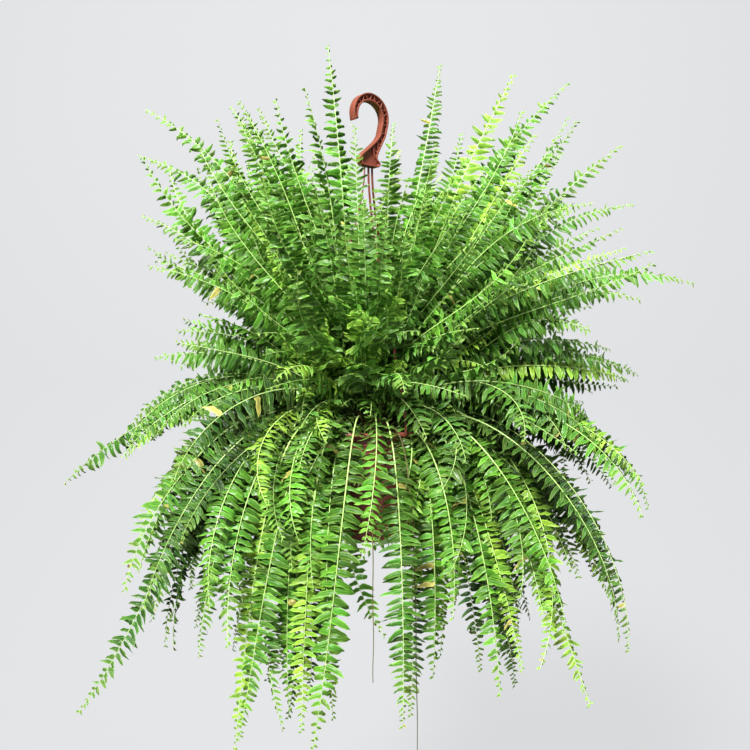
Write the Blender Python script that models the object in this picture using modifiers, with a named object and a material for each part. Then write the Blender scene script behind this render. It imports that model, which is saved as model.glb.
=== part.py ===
"""Hanging potted Boston fern.

A plastic hanging pot with a clip-on saucer hangs on three straps from a question-mark hook. The pot is
full of soil, a crown of root-stock sits on the soil, and every frond springs from the crown.

The origin is the inside top of the hook's loop, where the pot hangs on a rod or a ceiling hook. +Z is up
and -Y is the front. Lengths are metres and angles are degrees. Each sub-part is one closed body.
"""

import math
import random

import bpy
import bmesh
import numpy as np
from mathutils import Matrix, Vector
from mathutils.bvhtree import BVHTree

MM = 0.001
FIT_GAP = 0.3 * MM  # between two pieces that touch
TURN_STEPS = 36

# Hook: a band that runs round the loop and flares into the base
HOOK_OPENING = 42 * MM
HOOK_BAND = 10 * MM
HOOK_TIP_BAND = 6 * MM
HOOK_DROP = 86 * MM  # from the inside top of the loop to the underside of the base
HOOK_BASE_WIDTH = 34 * MM
HOOK_DEPTH = 12 * MM
HOOK_FLANGE = 2.2 * MM
HOOK_WEB = 3.6 * MM
HOOK_RIB = 1.5 * MM
HOOK_RIBS = 13
HOOK_RIB_SPAN = (0.07, 0.70)  # the ribbed stretch, in shares of the way from the tip to the base
HOOK_RIB_LEAN = 0.011  # of each end of a rib along the band, in the same shares
HOOK_RIB_SHY = 0.6 * MM  # how far the ribs stay below the flanges' edges
HOOK_ARC = (196, -22)  # the loop's arc, from the tip to the neck
HOOK_TURN = 38  # of the hook's plane about Z, from the XZ plane

# Straps: from the hook's base down to clips round the pot's rim
HANGER_LENGTH = 433 * MM  # from the inside top of the loop to the top of the rim
STRAP_RADIUS = 1.6 * MM
STRAP_AZIMUTHS = (175, 55, -65)
STRAP_PITCH = 6.2 * MM  # between the straps' upper ends, along the hook's base
STRAP_CLIP_BEND = 3.0 * MM
STRAP_CLIP_REACH = 2.0 * MM  # of the clip's foot, in under the rim
STRAP_CLIP_RISE = 2.0 * MM  # of the straight stretch beside the rim, above the rim's top
STRAP_SLACK = (0.30, 0.16)  # upright handles of the strap's curve at its ends, as shares of its fall

# Pot
POT_RIM_RADIUS = 110 * MM
POT_BASE_RADIUS = 70 * MM
POT_HEIGHT = 147 * MM
POT_WALL = 1.8 * MM
RIM_FLANGE = 6 * MM
RIM_THICKNESS = 3 * MM
FOOT_INSET = 12 * MM  # of the foot ring's outside from the base's edge
FOOT_WIDTH = 4 * MM
FOOT_HEIGHT = 3 * MM
DRAIN_HOLES = 6
DRAIN_RADIUS = 3.5 * MM
DRAIN_CIRCLE = 38 * MM
EDGE_EASE = 0.8 * MM

# Saucer: it follows the pot's wall, and a stud with a head snaps through the pot's floor
SAUCER_HEIGHT = 20 * MM
SAUCER_WALL = 1.6 * MM
SAUCER_CLEARANCE = 1.0 * MM
SAUCER_RIB = 1.0 * MM
SAUCER_RIBS = 4
STUD_RADIUS = 3.4 * MM
STUD_HEAD_RADIUS = 5.2 * MM
STUD_HEAD_HEIGHT = 2.2 * MM

# Soil and crown
SOIL_BELOW_RIM = 18 * MM
CROWN_RADIUS = 60 * MM
CROWN_HEIGHT = 35 * MM
CROWN_RINGS = 8

# Fronds
STALK_WIDTH = 3.4 * MM
STALK_THICKNESS = 2.6 * MM
STALK_SHARE = 0.13  # of a frond's length, bare of leaflets
BLADE_HALF_WIDTH = 19 * MM
BLADE_THICKNESS = 2.4 * MM
BLADE_DROOP = 0.16  # how far the edges hang, as a share of the half width
BLADE_LOBES = 9
NOTCH_DEPTH = 0.26
FROND_ARCH = 0.38  # length of the midrib curve's handles, as a share of the way from base to tip
FROND_POINTS = 64
FROND_SWING = 9  # the most that a frond turns sideways towards its tip
FROND_CLEARANCE = 0.5 * MM
FACE_LIGHT = Vector((0.0, -1.0, 0.35))  # fronds at the sides turn their upper faces this way
FACE_TURN = 0.62

# One row a frond: azimuth, launch angle above level, reach of the tip from the axis in mm, rise of the tip
# above the rim in mm, and the tip's own slope. They are listed round the plant as tiers of one side.
OUTER_FRONDS = (
    # left side, from the tallest spike down to the trailing ones
    (150, 83, 65, 520, 82),
    (-145, 78, 100, 430, 68),
    (-162, 74, 170, 425, 60),
    (163, 72, 215, 450, 50),
    (169, 66, 315, 435, 28),
    (175, 60, 335, 375, 15),
    (-178, 56, 315, 285, 20),
    (-165, 50, 240, 185, 0),
    (-171, 42, 260, 75, -32),
    (-172, 44, 440, -95, -42),
    (-161, 46, 385, -360, -52),
    (-157, 36, 310, -200, -70),
    (-147, 32, 265, -130, -76),
    # right side, from the top down
    (55, 80, 100, 430, 76),
    (20, 82, 115, 500, 78),
    (17, 75, 205, 480, 62),
    (12, 71, 275, 465, 42),
    (-6, 70, 220, 385, 58),
    (-18, 66, 215, 330, 50),
    (6, 63, 340, 375, 38),
    (2, 56, 365, 300, 6),
    (-2, 52, 445, 190, -18),
    (-13, 47, 350, 165, -22),
    (-25, 42, 290, 125, -35),
    (-7, 40, 375, 65, -25),
    (-14, 36, 360, -65, -58),
    (-18, 34, 330, -200, -70),
    (-30, 42, 320, -300, -62),
    # front, from the spikes before the hook down to the ones that hang before the pot
    (-104, 80, 60, 385, 84),
    (-122, 70, 140, 300, 55),
    (-62, 70, 140, 290, 55),
    (-92, 64, 165, 150, -10),
    (-118, 58, 195, 70, -45),
    (-66, 58, 200, 60, -45),
    (-84, 50, 225, -110, -76),
    (-47, 40, 250, -285, -78),
    (-58, 32, 235, -190, -80),
    (-77, 42, 225, -310, -82),
    (-97, 44, 230, -335, -83),
    (-123, 42, 240, -345, -80),
    (-137, 38, 230, -370, -82),
)
# The back is made of tiers spread evenly over a fan: count, first and last azimuth, then launch, reach,
# rise and tip slope as above
BACK_TIERS = (
    (2, 72, 112, 74, 140, 400, 55),
    (2, 44, 136, 60, 285, 200, -5),
    (2, 66, 108, 50, 300, -20, -55),
    (3, 36, 144, 40, 270, -260, -78),
)
BACK_SPREAD = 6  # seeded variation in azimuth, degrees
FROND_SEED = 11
# A frond that would touch what is already placed tries these changes, the smallest first
NUDGE_TURNS = range(-16, 17, 2)
NUDGE_LIFTS = range(-8, 9, 4)
NUDGE_PUSHES = (0, 20, 40, 60)  # of the tip away from the axis, in mm
NUDGE_WIDTHS = (1.0, 0.8, 0.6, 0.4)
LAUNCH_RANGE = (8, 88)

# Runners: thin bare stems that arch over the rim and hang. Azimuth, launch, reach, rise and tip slope
RUNNERS = (
    (-71, 30, 185, -400, -84),
    (-88, 36, 200, -270, -95),
)
RUNNER_RADIUS = 0.7 * MM
RUNNER_POINTS = 18

RIM_Z = -HANGER_LENGTH
POT_BOTTOM_Z = RIM_Z - POT_HEIGHT
POT_FLOOR_Z = POT_BOTTOM_Z + FOOT_HEIGHT  # underside of the pot's floor
POT_WALL_TOP_RADIUS = POT_RIM_RADIUS - RIM_FLANGE
SAUCER_FLOOR_Z = POT_BOTTOM_Z - FIT_GAP  # upper face of the saucer's floor
STUD_HEAD_Z = POT_FLOOR_Z + POT_WALL + FIT_GAP
SOIL_TOP_Z = RIM_Z - SOIL_BELOW_RIM
SOIL_BOTTOM_Z = POT_FLOOR_Z + POT_WALL + FIT_GAP
CROWN_Z = SOIL_TOP_Z + FIT_GAP
HOOK_BASE_Z = -HOOK_DROP


def clear_scene():
    for thing in list(bpy.data.objects):
        bpy.data.objects.remove(thing)


def collection(name):
    made = bpy.data.collections.new(name)
    bpy.context.scene.collection.children.link(made)
    return made


def material(name, colour, roughness, metallic=0.0):
    made = bpy.data.materials.new(name)
    made.use_nodes = True
    shader = made.node_tree.nodes["Principled BSDF"]
    shader.inputs["Base Color"].default_value = (*colour, 1.0)
    shader.inputs["Roughness"].default_value = roughness
    shader.inputs["Metallic"].default_value = metallic
    made.diffuse_color = (*colour, 1.0)
    return made


def add_object(name, data, look, home, parent=None):
    thing = bpy.data.objects.new(name, data)
    if look is not None:
        data.materials.append(look)
    home.objects.link(thing)
    thing.parent = parent
    return thing


def make_cutter(thing):
    thing.hide_render = True
    thing.display_type = "WIRE"


def mesh_from_curve(thing, home):
    """The evaluated curve as a welded mesh object in the curve's place."""
    bpy.context.view_layer.update()
    mesh = bpy.data.meshes.new_from_object(thing.evaluated_get(bpy.context.evaluated_depsgraph_get()))
    work = bmesh.new()
    work.from_mesh(mesh)
    bmesh.ops.remove_doubles(work, verts=work.verts, dist=0.00001)
    bmesh.ops.recalc_face_normals(work, faces=work.faces)
    work.to_mesh(mesh)
    work.free()
    solid = bpy.data.objects.new(thing.name + "_solid", mesh)
    solid.matrix_basis = thing.matrix_world
    name = thing.name
    bpy.data.objects.remove(thing)
    solid.name = name
    home.objects.link(solid)
    return solid


def boolean(thing, other, operation):
    step = thing.modifiers.new(operation.lower(), "BOOLEAN")
    step.operation = operation
    step.solver = "EXACT"
    step.object = other


def turned(name, profile, look, home, steps=TURN_STEPS):
    """A solid turned about Z from an open profile of (radius, height) whose ends lie on the axis."""
    mesh = bpy.data.meshes.new(name)
    points = [(radius, 0.0, height) for radius, height in profile]
    edges = [(i, i + 1) for i in range(len(points) - 1)]
    mesh.from_pydata(points, edges, [])
    thing = add_object(name, mesh, look, home)
    screw = thing.modifiers.new("turn", "SCREW")
    screw.steps = steps
    screw.render_steps = steps
    screw.use_merge_vertices = True
    screw.merge_threshold = 0.00001
    return thing


# ---------------------------------------------------------------- hook

def bezier(a, b, c, d, count):
    """Points on the cubic Bezier curve a, b, c, d."""
    t = np.linspace(0.0, 1.0, count)[:, None]
    a, b, c, d = (np.array(p, float) for p in (a, b, c, d))
    return a * (1 - t) ** 3 + 3 * b * t * (1 - t) ** 2 + 3 * c * t ** 2 * (1 - t) + d * t ** 3


def hook_centreline():
    """The middle of the band, (across, up), from the tip round the loop and down to the base."""
    radius = (HOOK_OPENING + HOOK_BAND) / 2
    centre_up = -HOOK_OPENING / 2
    first, last = (math.radians(end) for end in HOOK_ARC)
    angle = np.linspace(first, last, 34)
    loop = np.stack([radius * np.cos(angle), centre_up + radius * np.sin(angle)], axis=1)
    run = 0.42 * (HOOK_DROP - HOOK_OPENING)
    along = np.array([math.sin(last), -math.cos(last)])
    foot = np.array([0.0, HOOK_BASE_Z])
    neck = bezier(loop[-1], loop[-1] + along * run, foot + np.array([0.0, run]), foot, 16)
    return np.concatenate([loop, neck[1:]])


def hook_half_width(share):
    """Half the band's width at a share of the way from the tip to the base."""
    stations = (0.0, 0.1, 0.35, 0.6, 0.78, 0.9, 0.96, 1.0)
    tip, band, base = HOOK_TIP_BAND / 2, HOOK_BAND / 2, HOOK_BASE_WIDTH / 2
    widths = (tip, tip, band * 1.08, band, band * 1.25, base * 0.74, base * 0.96, base)
    return np.interp(share, stations, widths)


def hook_frame():
    """The centreline with the unit normal and the half width at each of its points."""
    line = hook_centreline()
    step = np.gradient(line, axis=0)
    step[-1] = (0.0, -1.0)  # the base's underside is level
    step /= np.linalg.norm(step, axis=1)[:, None]
    normal = np.stack([-step[:, 1], step[:, 0]], axis=1)
    length = np.concatenate([[0.0], np.cumsum(np.linalg.norm(np.diff(line, axis=0), axis=1))])
    share = length / length[-1]
    return line, normal, hook_half_width(share), share


def hook_outline(inset):
    """The closed outline of the band, drawn in by inset all round."""
    line, normal, half, share = hook_frame()
    length = np.linalg.norm(np.diff(line, axis=0), axis=1).sum()
    kept = (share >= inset / length) & (share <= 1 - inset / length)
    line, normal, half = line[kept], normal[kept], (half - inset)[kept]
    outer = line + normal * half[:, None]
    inner = line - normal * half[:, None]
    return np.concatenate([outer, inner[::-1]])


def flat_solid(name, outline, low, high, home):
    """The outline, (across, up), drawn out along Y from low to high."""
    curve = bpy.data.curves.new(name, "CURVE")
    curve.dimensions = "2D"
    curve.fill_mode = "BOTH"
    curve.extrude = (high - low) / 2
    spline = curve.splines.new("POLY")
    spline.points.add(len(outline) - 1)
    for point, (across, up) in zip(spline.points, outline):
        point.co = (across, up, 0.0, 1.0)
    spline.use_cyclic_u = True
    thing = bpy.data.objects.new(name, curve)
    thing.location = (0.0, (low + high) / 2, 0.0)
    thing.rotation_euler = (math.radians(90), 0.0, 0.0)
    home.objects.link(thing)
    return mesh_from_curve(thing, home)


def hook_ribs(home):
    """Slanting ribs between the two flanges, leaning one way and then the other, as one cutter object."""
    line, normal, half, share = hook_frame()
    work = bmesh.new()
    for index, station in enumerate(np.linspace(*HOOK_RIB_SPAN, HOOK_RIBS)):
        slope = HOOK_RIB_LEAN if index % 2 else -HOOK_RIB_LEAN
        ends = []
        for side in (-1, 1):
            at = station + side * slope
            centre = np.array([np.interp(at, share, line[:, k]) for k in (0, 1)])
            across = np.array([np.interp(at, share, normal[:, k]) for k in (0, 1)])
            reach = np.interp(at, share, half) - HOOK_FLANGE / 2
            ends.append(centre + side * across * reach)
        middle = (ends[0] + ends[1]) / 2
        run = ends[1] - ends[0]
        made = bmesh.ops.create_cube(work, size=1.0)["verts"]
        size = Vector((np.linalg.norm(run), HOOK_DEPTH - 2 * HOOK_RIB_SHY, HOOK_RIB))
        bmesh.ops.scale(work, vec=size, verts=made)
        tilt = -math.atan2(run[1], run[0])
        bmesh.ops.rotate(work, verts=made, cent=(0, 0, 0), matrix=Matrix.Rotation(tilt, 3, "Y"))
        bmesh.ops.translate(work, verts=made, vec=(middle[0], 0.0, middle[1]))
    mesh = bpy.data.meshes.new("hook_ribs")
    work.to_mesh(mesh)
    work.free()
    thing = add_object("hook_ribs", mesh, None, home)
    make_cutter(thing)
    return thing


def make_hook(look, home, cutters):
    """The hook, with its recessed faces and ribs, in a plane turned about Z."""
    plane = add_object("hook_plane", None, None, home)
    plane.rotation_euler = (0.0, 0.0, math.radians(HOOK_TURN))
    hook = flat_solid("hanger_hook", hook_outline(0.0), -HOOK_DEPTH / 2, HOOK_DEPTH / 2, home)
    hook.parent = plane
    hook.data.materials.append(look)
    for side, name in ((-1, "hook_recess_front"), (1, "hook_recess_back")):
        low, high = sorted((side * HOOK_WEB / 2, side * (HOOK_DEPTH / 2 + 1 * MM)))
        recess = flat_solid(name, hook_outline(HOOK_FLANGE), low, high, cutters)
        recess.parent = plane
        make_cutter(recess)
        boolean(hook, recess, "DIFFERENCE")
    ribs = hook_ribs(cutters)
    ribs.parent = plane
    boolean(hook, ribs, "UNION")
    return hook


# ---------------------------------------------------------------- straps

def wire(name, points, radius, look, home, resolution=1):
    """A round wire through the points, with closed ends."""
    curve = bpy.data.curves.new(name, "CURVE")
    curve.dimensions = "3D"
    curve.bevel_depth = radius
    curve.bevel_resolution = resolution
    curve.use_fill_caps = True
    spline = curve.splines.new("POLY")
    spline.points.add(len(points) - 1)
    for point, place in zip(spline.points, points):
        point.co = (*place, 1.0)
    return add_object(name, curve, look, home)


def strap_route(number):
    """From under the hook's base, down in a slack curve, over the rim's edge and in under its flange."""
    azimuth = math.radians(STRAP_AZIMUTHS[number])
    outward = np.array([math.cos(azimuth), math.sin(azimuth), 0.0])
    down = np.array([0.0, 0.0, -1.0])
    along_hook = np.array([math.cos(math.radians(HOOK_TURN)), math.sin(math.radians(HOOK_TURN)), 0.0])
    place = (0, 2, 1)[number] - 1  # the straps' order along the base
    top = along_hook * place * STRAP_PITCH + down * (HOOK_DROP + FIT_GAP)
    beside_rim = POT_RIM_RADIUS + FIT_GAP + STRAP_RADIUS
    over = outward * beside_rim - down * (RIM_Z + STRAP_CLIP_RISE)
    fall = top[2] - over[2]
    upper, lower = (fall * share for share in STRAP_SLACK)
    slack = bezier(top, top + down * upper, over - down * lower, over, 18)
    bend = STRAP_CLIP_BEND
    under = RIM_Z - RIM_THICKNESS - FIT_GAP - STRAP_RADIUS
    turn = [
        outward * (beside_rim - bend + bend * math.cos(a)) + down * (-(under + bend) + bend * math.sin(a))
        for a in np.linspace(0.0, math.pi / 2, 5)
    ]
    foot = turn[-1] - outward * STRAP_CLIP_REACH
    return [tuple(p) for p in (*slack, *turn, foot)]


# ---------------------------------------------------------------- pot, saucer, soil, crown

def wall_radius(height):
    """The pot's outer radius at a height above its bottom."""
    return POT_BASE_RADIUS + (POT_WALL_TOP_RADIUS - POT_BASE_RADIUS) * height / POT_HEIGHT


def make_pot(look, home, cutters):
    floor = POT_FLOOR_Z
    foot_high = POT_BASE_RADIUS - FOOT_INSET
    foot_low = foot_high - FOOT_WIDTH
    hole = STUD_RADIUS + FIT_GAP
    top_inside = POT_WALL_TOP_RADIUS - POT_WALL
    floor_inside = wall_radius(FOOT_HEIGHT + POT_WALL) - POT_WALL
    profile = [
        (0.0, floor + POT_WALL),
        (floor_inside, floor + POT_WALL),
        (top_inside, RIM_Z),
        (POT_RIM_RADIUS - EDGE_EASE, RIM_Z),
        (POT_RIM_RADIUS, RIM_Z - EDGE_EASE),
        (POT_RIM_RADIUS, RIM_Z - RIM_THICKNESS),
        (wall_radius(POT_HEIGHT - RIM_THICKNESS), RIM_Z - RIM_THICKNESS),
        (wall_radius(FOOT_HEIGHT + EDGE_EASE), floor + EDGE_EASE),
        (wall_radius(FOOT_HEIGHT) - EDGE_EASE, floor),
        (foot_high, floor),
        (foot_high, POT_BOTTOM_Z),
        (foot_low, POT_BOTTOM_Z),
        (foot_low, floor),
        (0.0, floor),
    ]
    pot = turned("pot", profile, look, home)
    drains = [(DRAIN_CIRCLE, index * math.tau / DRAIN_HOLES, DRAIN_RADIUS) for index in range(DRAIN_HOLES)]
    holes = floor_holes((*drains, (0.0, 0.0, hole)), floor + POT_WALL / 2, cutters)
    boolean(pot, holes, "DIFFERENCE")
    return pot


def floor_holes(places, height, cutters):
    """Round cutters at each (distance from the axis, angle, radius), through a floor at this height."""
    work = bmesh.new()
    for ring, angle, radius in places:
        made = bmesh.ops.create_cone(
            work, cap_ends=True, segments=14, radius1=radius, radius2=radius, depth=4 * POT_WALL)["verts"]
        bmesh.ops.translate(work, verts=made, vec=(ring * math.cos(angle), ring * math.sin(angle), height))
    mesh = bpy.data.meshes.new("floor_holes")
    work.to_mesh(mesh)
    work.free()
    holes = add_object("floor_holes", mesh, None, cutters)
    make_cutter(holes)
    return holes


def make_saucer(look, home):
    """A shallow dish with ribs round its wall and a headed stud in the middle of its floor."""
    floor = SAUCER_FLOOR_Z
    bottom = floor - SAUCER_WALL
    height = bottom + SAUCER_HEIGHT

    def inside(z):
        return wall_radius(max(z - POT_BOTTOM_Z, 0.0)) + SAUCER_CLEARANCE

    profile = [
        (0.0, STUD_HEAD_Z + STUD_HEAD_HEIGHT),
        (STUD_RADIUS, STUD_HEAD_Z + STUD_HEAD_HEIGHT),
        (STUD_HEAD_RADIUS, STUD_HEAD_Z),
        (STUD_RADIUS, STUD_HEAD_Z),
        (STUD_RADIUS, floor),
        (inside(floor), floor),
        (inside(height), height),
    ]
    pitch = SAUCER_HEIGHT / SAUCER_RIBS
    for rib in range(SAUCER_RIBS):
        top = height - rib * pitch
        for share, proud in ((0.0, 0.3), (0.22, 1.0), (0.62, 1.0), (0.84, 0.0)):
            z = top - share * pitch
            profile.append((inside(z) + SAUCER_WALL + proud * SAUCER_RIB, z))
    profile.append((inside(bottom) + SAUCER_WALL, bottom))
    profile.append((0.0, bottom))
    return turned("saucer", profile, look, home)


def make_soil(look, home):
    clear = POT_WALL + FIT_GAP
    room = STUD_HEAD_RADIUS + 1 * MM
    roof = STUD_HEAD_Z + STUD_HEAD_HEIGHT + FIT_GAP
    profile = [
        (0.0, SOIL_TOP_Z),
        (wall_radius(SOIL_TOP_Z - POT_BOTTOM_Z) - clear, SOIL_TOP_Z),
        (wall_radius(SOIL_BOTTOM_Z - POT_BOTTOM_Z) - clear, SOIL_BOTTOM_Z),
        (room, SOIL_BOTTOM_Z),
        (room, roof),
        (0.0, roof),
    ]
    return turned("soil", profile, look, home)


def make_crown(look, home):
    """Half of an ellipsoid, flat side down."""
    angles = np.linspace(math.pi / 2, 0.0, CROWN_RINGS + 1)
    profile = [(CROWN_RADIUS * math.cos(a), CROWN_Z + CROWN_HEIGHT * math.sin(a)) for a in angles]
    profile[0] = (0.0, CROWN_Z + CROWN_HEIGHT)
    profile.append((0.0, CROWN_Z))
    return turned("crown", profile, look, home, steps=48)


# ---------------------------------------------------------------- fronds

def frond_line(azimuth, launch, reach, rise, slope, count, swing=0.0):
    """A frond's midrib as points.

    In the upright plane at its azimuth it is one Bezier curve from the crown's surface, square to it, to
    the tip. The plane turns by swing degrees on the way, as the share along it squared.
    """
    up = math.radians(launch)
    spot = math.atan(math.tan(up) * CROWN_HEIGHT / CROWN_RADIUS)
    start = np.array([
        CROWN_RADIUS * math.cos(spot) + FIT_GAP * math.cos(up),
        CROWN_Z + CROWN_HEIGHT * math.sin(spot) + FIT_GAP * math.sin(up),
    ])
    tip = np.array([reach * MM, RIM_Z + rise * MM])
    handle = FROND_ARCH * np.linalg.norm(tip - start)
    down = math.radians(slope)
    flat = bezier(
        start,
        start + handle * np.array([math.cos(up), math.sin(up)]),
        tip - handle * np.array([math.cos(down), math.sin(down)]),
        tip, count)
    share = np.linspace(0.0, 1.0, count)
    around = np.radians(azimuth + swing * share ** 2)
    return np.stack([flat[:, 0] * np.cos(around), flat[:, 0] * np.sin(around), flat[:, 1]], axis=1)


def frond_axes(line, azimuth):
    """The direction, the side and the upper normal at each point of a midrib."""
    along = np.gradient(line, axis=0)
    along /= np.linalg.norm(along, axis=1)[:, None]
    angle = math.radians(azimuth)
    outward = np.array([math.cos(angle), math.sin(angle), 0.0])
    across = np.array([-math.sin(angle), math.cos(angle), 0.0])
    normal = np.cross(along, np.broadcast_to(across, along.shape))
    light = np.array(FACE_LIGHT)
    light = light - along * (along @ light)[:, None]
    share = np.linspace(0.0, 1.0, len(line))[:, None]
    turn = FACE_TURN * abs(outward[0]) * np.clip(share * 3.0, 0.0, 1.0)
    normal = normal * (1 - turn) + light * turn
    normal -= along * np.sum(normal * along, axis=1)[:, None]
    normal /= np.linalg.norm(normal, axis=1)[:, None]
    return along, np.cross(normal, along), normal


def frond_shares():
    """The stations of a frond's cross-sections: three on the bare stalk, two for each lobe, and the tip."""
    stalk = np.linspace(0.0, STALK_SHARE, 3)
    blade = np.linspace(STALK_SHARE, 1.0, 2 * BLADE_LOBES + 2)[1:]
    return np.concatenate([stalk, blade])


def frond_widths(shares, half_width):
    """Half widths: a bare stalk, then lobes and notches under a smooth outline that ends in a point."""
    blade = np.clip((shares - STALK_SHARE) / (1 - STALK_SHARE), 0.0, 1.0)
    swell = np.clip(blade / 0.22, 0.0, 1.0) ** 0.7
    taper = np.clip(1 - blade ** 2.4, 0.0, 1.0) ** 0.9
    width = half_width * swell * taper
    number = np.arange(len(shares))
    notch = np.where((number > 2) & (number % 2 == 0), 1 - NOTCH_DEPTH, 1.0)
    return np.maximum(width * notch, STALK_WIDTH / 2 * (1 - 0.55 * blade))


def frond_rings(line_at, azimuth, half_width, extra=0.0):
    """Cross-sections of four corners each: left edge, ridge, right edge, keel."""
    shares = frond_shares()
    fine = np.linspace(0.0, 1.0, len(line_at))
    along, side, normal = frond_axes(line_at, azimuth)
    length = np.concatenate([[0.0], np.cumsum(np.linalg.norm(np.diff(line_at, axis=0), axis=1))])
    at = np.interp(shares * length[-1], length, fine)

    def read(rows):
        return np.stack([np.interp(at, fine, rows[:, k]) for k in range(3)], axis=1)

    middle, side, normal = read(line_at), read(side), read(normal)
    half = frond_widths(shares, half_width)[:, None]
    blade = np.clip((shares - STALK_SHARE) / (1 - STALK_SHARE), 0.0, 1.0)[:, None]
    ridge = (STALK_THICKNESS + (BLADE_THICKNESS - STALK_THICKNESS) * np.sqrt(blade)) / 2 * (1 - 0.5 * blade)
    droop = np.where(blade > 0, BLADE_DROOP, 0.0) * half
    rings = np.stack([
        middle - side * (half + extra) - normal * droop,
        middle + normal * (ridge + extra),
        middle + side * (half + extra) - normal * droop,
        middle - normal * (ridge + extra),
    ], axis=1)
    return rings


def loft(rings):
    """Corners and faces of the closed loft through the rings, with a flat cap at each end."""
    count, corners, _ = rings.shape
    points = rings.reshape(-1, 3)
    faces = []
    for ring in range(count - 1):
        for corner in range(corners):
            after = (corner + 1) % corners
            low, high = ring * corners, (ring + 1) * corners
            faces.append((low + corner, low + after, high + after, high + corner))
    faces.append(tuple(reversed(range(corners))))
    faces.append(tuple(range((count - 1) * corners, count * corners)))
    return points, faces


def tree_of(points, faces):
    return BVHTree.FromPolygons([Vector(p) for p in points], faces)


def tree_of_object(thing):
    bpy.context.view_layer.update()
    graph = bpy.context.evaluated_depsgraph_get()
    mesh = bpy.data.meshes.new_from_object(thing.evaluated_get(graph))
    place = thing.matrix_world
    points = [place @ v.co for v in mesh.vertices]
    faces = [tuple(p.vertices) for p in mesh.polygons]
    bpy.data.meshes.remove(mesh)
    return BVHTree.FromPolygons(points, faces)


def nudges():
    """Small changes of azimuth and launch angle, the smallest first, then a longer reach and a narrower blade."""
    steps = sorted(
        ((turn, lift) for turn in NUDGE_TURNS for lift in NUDGE_LIFTS),
        key=lambda step: (abs(step[0]) + 1.2 * abs(step[1]), step))
    return [
        (turn, lift, push, width)
        for width in NUDGE_WIDTHS for push in NUDGE_PUSHES for turn, lift in steps
    ]


def nudged_line(design, nudge, count, swing=0.0):
    """The midrib and the azimuth of the design with a nudge, or nothing past the steepest or flattest launch."""
    azimuth, launch, reach, rise, slope = design
    turn, lift, push, _ = nudge
    if not LAUNCH_RANGE[0] <= launch + lift <= LAUNCH_RANGE[1]:
        return None, azimuth
    line = frond_line(azimuth + turn, launch + lift, reach + push, rise, slope, count, swing)
    return line, azimuth + turn


def place_frond(design, base, taken, swing, half_width):
    """The rings of the first nudged copy of the design that stays clear of everything placed so far.

    The base is what the frond starts against, so only the rings past its first are tried on that.
    """
    for nudge in nudges():
        line, azimuth = nudged_line(design, nudge, FROND_POINTS, swing)
        if line is None:
            continue
        width = half_width * nudge[-1]
        rings = frond_rings(line, azimuth, width)
        fat = frond_rings(line, azimuth, width, FROND_CLEARANCE)
        whole, risen = tree_of(*loft(fat)), tree_of(*loft(fat[1:]))
        if not risen.overlap(base) and not any(whole.overlap(other) for other in taken):
            break
    return rings


def place_runner(design, taken):
    """The midrib of the first nudged copy of the design that stays clear of everything placed so far."""
    half = RUNNER_RADIUS + FROND_CLEARANCE
    for nudge in nudges():
        line, azimuth = nudged_line(design, nudge, RUNNER_POINTS)
        if line is None:
            continue
        _, side, normal = frond_axes(line, azimuth)
        corners = [line - side * half, line + normal * half, line + side * half, line - normal * half]
        fat = tree_of(*loft(np.stack(corners, axis=1)[1:]))
        if not any(fat.overlap(other) for other in taken):
            break
    return line


def frond_designs():
    """Every frond's design: the ones that set the outline, then the back's tiers."""
    chance = random.Random(FROND_SEED)
    designs = [tuple(row) for row in OUTER_FRONDS]
    for count, first, last, launch, reach, rise, slope in BACK_TIERS:
        for azimuth in np.linspace(first, last, count):
            designs.append((azimuth + chance.uniform(-BACK_SPREAD, BACK_SPREAD), launch, reach, rise, slope))
    return designs


def make_fronds(looks, home, base, obstacles):
    """All the fronds, in turn, and the search trees of everything that is then in place."""
    chance = random.Random(FROND_SEED + 1)
    taken = list(obstacles)
    for number, design in enumerate(frond_designs(), start=1):
        swing = chance.uniform(-FROND_SWING, FROND_SWING)
        half_width = BLADE_HALF_WIDTH * chance.uniform(0.88, 1.08)
        points, faces = loft(place_frond(design, base, taken, swing, half_width))
        taken.append(tree_of(points, faces))
        name = f"frond_{number:02d}"
        mesh = bpy.data.meshes.new(name)
        mesh.from_pydata([tuple(p) for p in points], [], faces)
        work = bmesh.new()
        work.from_mesh(mesh)
        bmesh.ops.recalc_face_normals(work, faces=work.faces)
        work.to_mesh(mesh)
        work.free()
        add_object(name, mesh, looks[number % len(looks)], home)
    return taken


def make_runners(look, home, taken):
    for number, design in enumerate(RUNNERS, start=1):
        line = place_runner(design, taken)
        wire(f"runner_{number}", [tuple(p) for p in line], RUNNER_RADIUS, look, home)


def main():
    clear_scene()
    home = collection("hanging_potted_fern")
    cutters = collection("cutters")
    terracotta = material("terracotta_plastic", (0.36, 0.10, 0.07), 0.45)
    earth = material("potting_mix", (0.05, 0.032, 0.02), 0.95)
    roots = material("root_stock", (0.12, 0.08, 0.035), 0.9)
    greens = [
        material("leaf_green", (0.10, 0.26, 0.03), 0.45),
        material("leaf_green_young", (0.22, 0.42, 0.05), 0.45),
        material("leaf_green_deep", (0.045, 0.16, 0.025), 0.45),
    ]
    stem = material("runner_stem", (0.13, 0.12, 0.05), 0.6)

    hook = make_hook(terracotta, home, cutters)
    pot = make_pot(terracotta, home, cutters)
    saucer = make_saucer(terracotta, home)
    soil = make_soil(earth, home)
    crown = make_crown(roots, home)
    straps = [
        wire(f"hanger_strap_{n + 1}", strap_route(n), STRAP_RADIUS, terracotta, home)
        for n in range(len(STRAP_AZIMUTHS))
    ]
    obstacles = [tree_of_object(thing) for thing in (hook, pot, saucer, soil, *straps)]
    taken = make_fronds(greens, home, tree_of_object(crown), obstacles)
    make_runners(stem, home, taken)


main()
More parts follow.
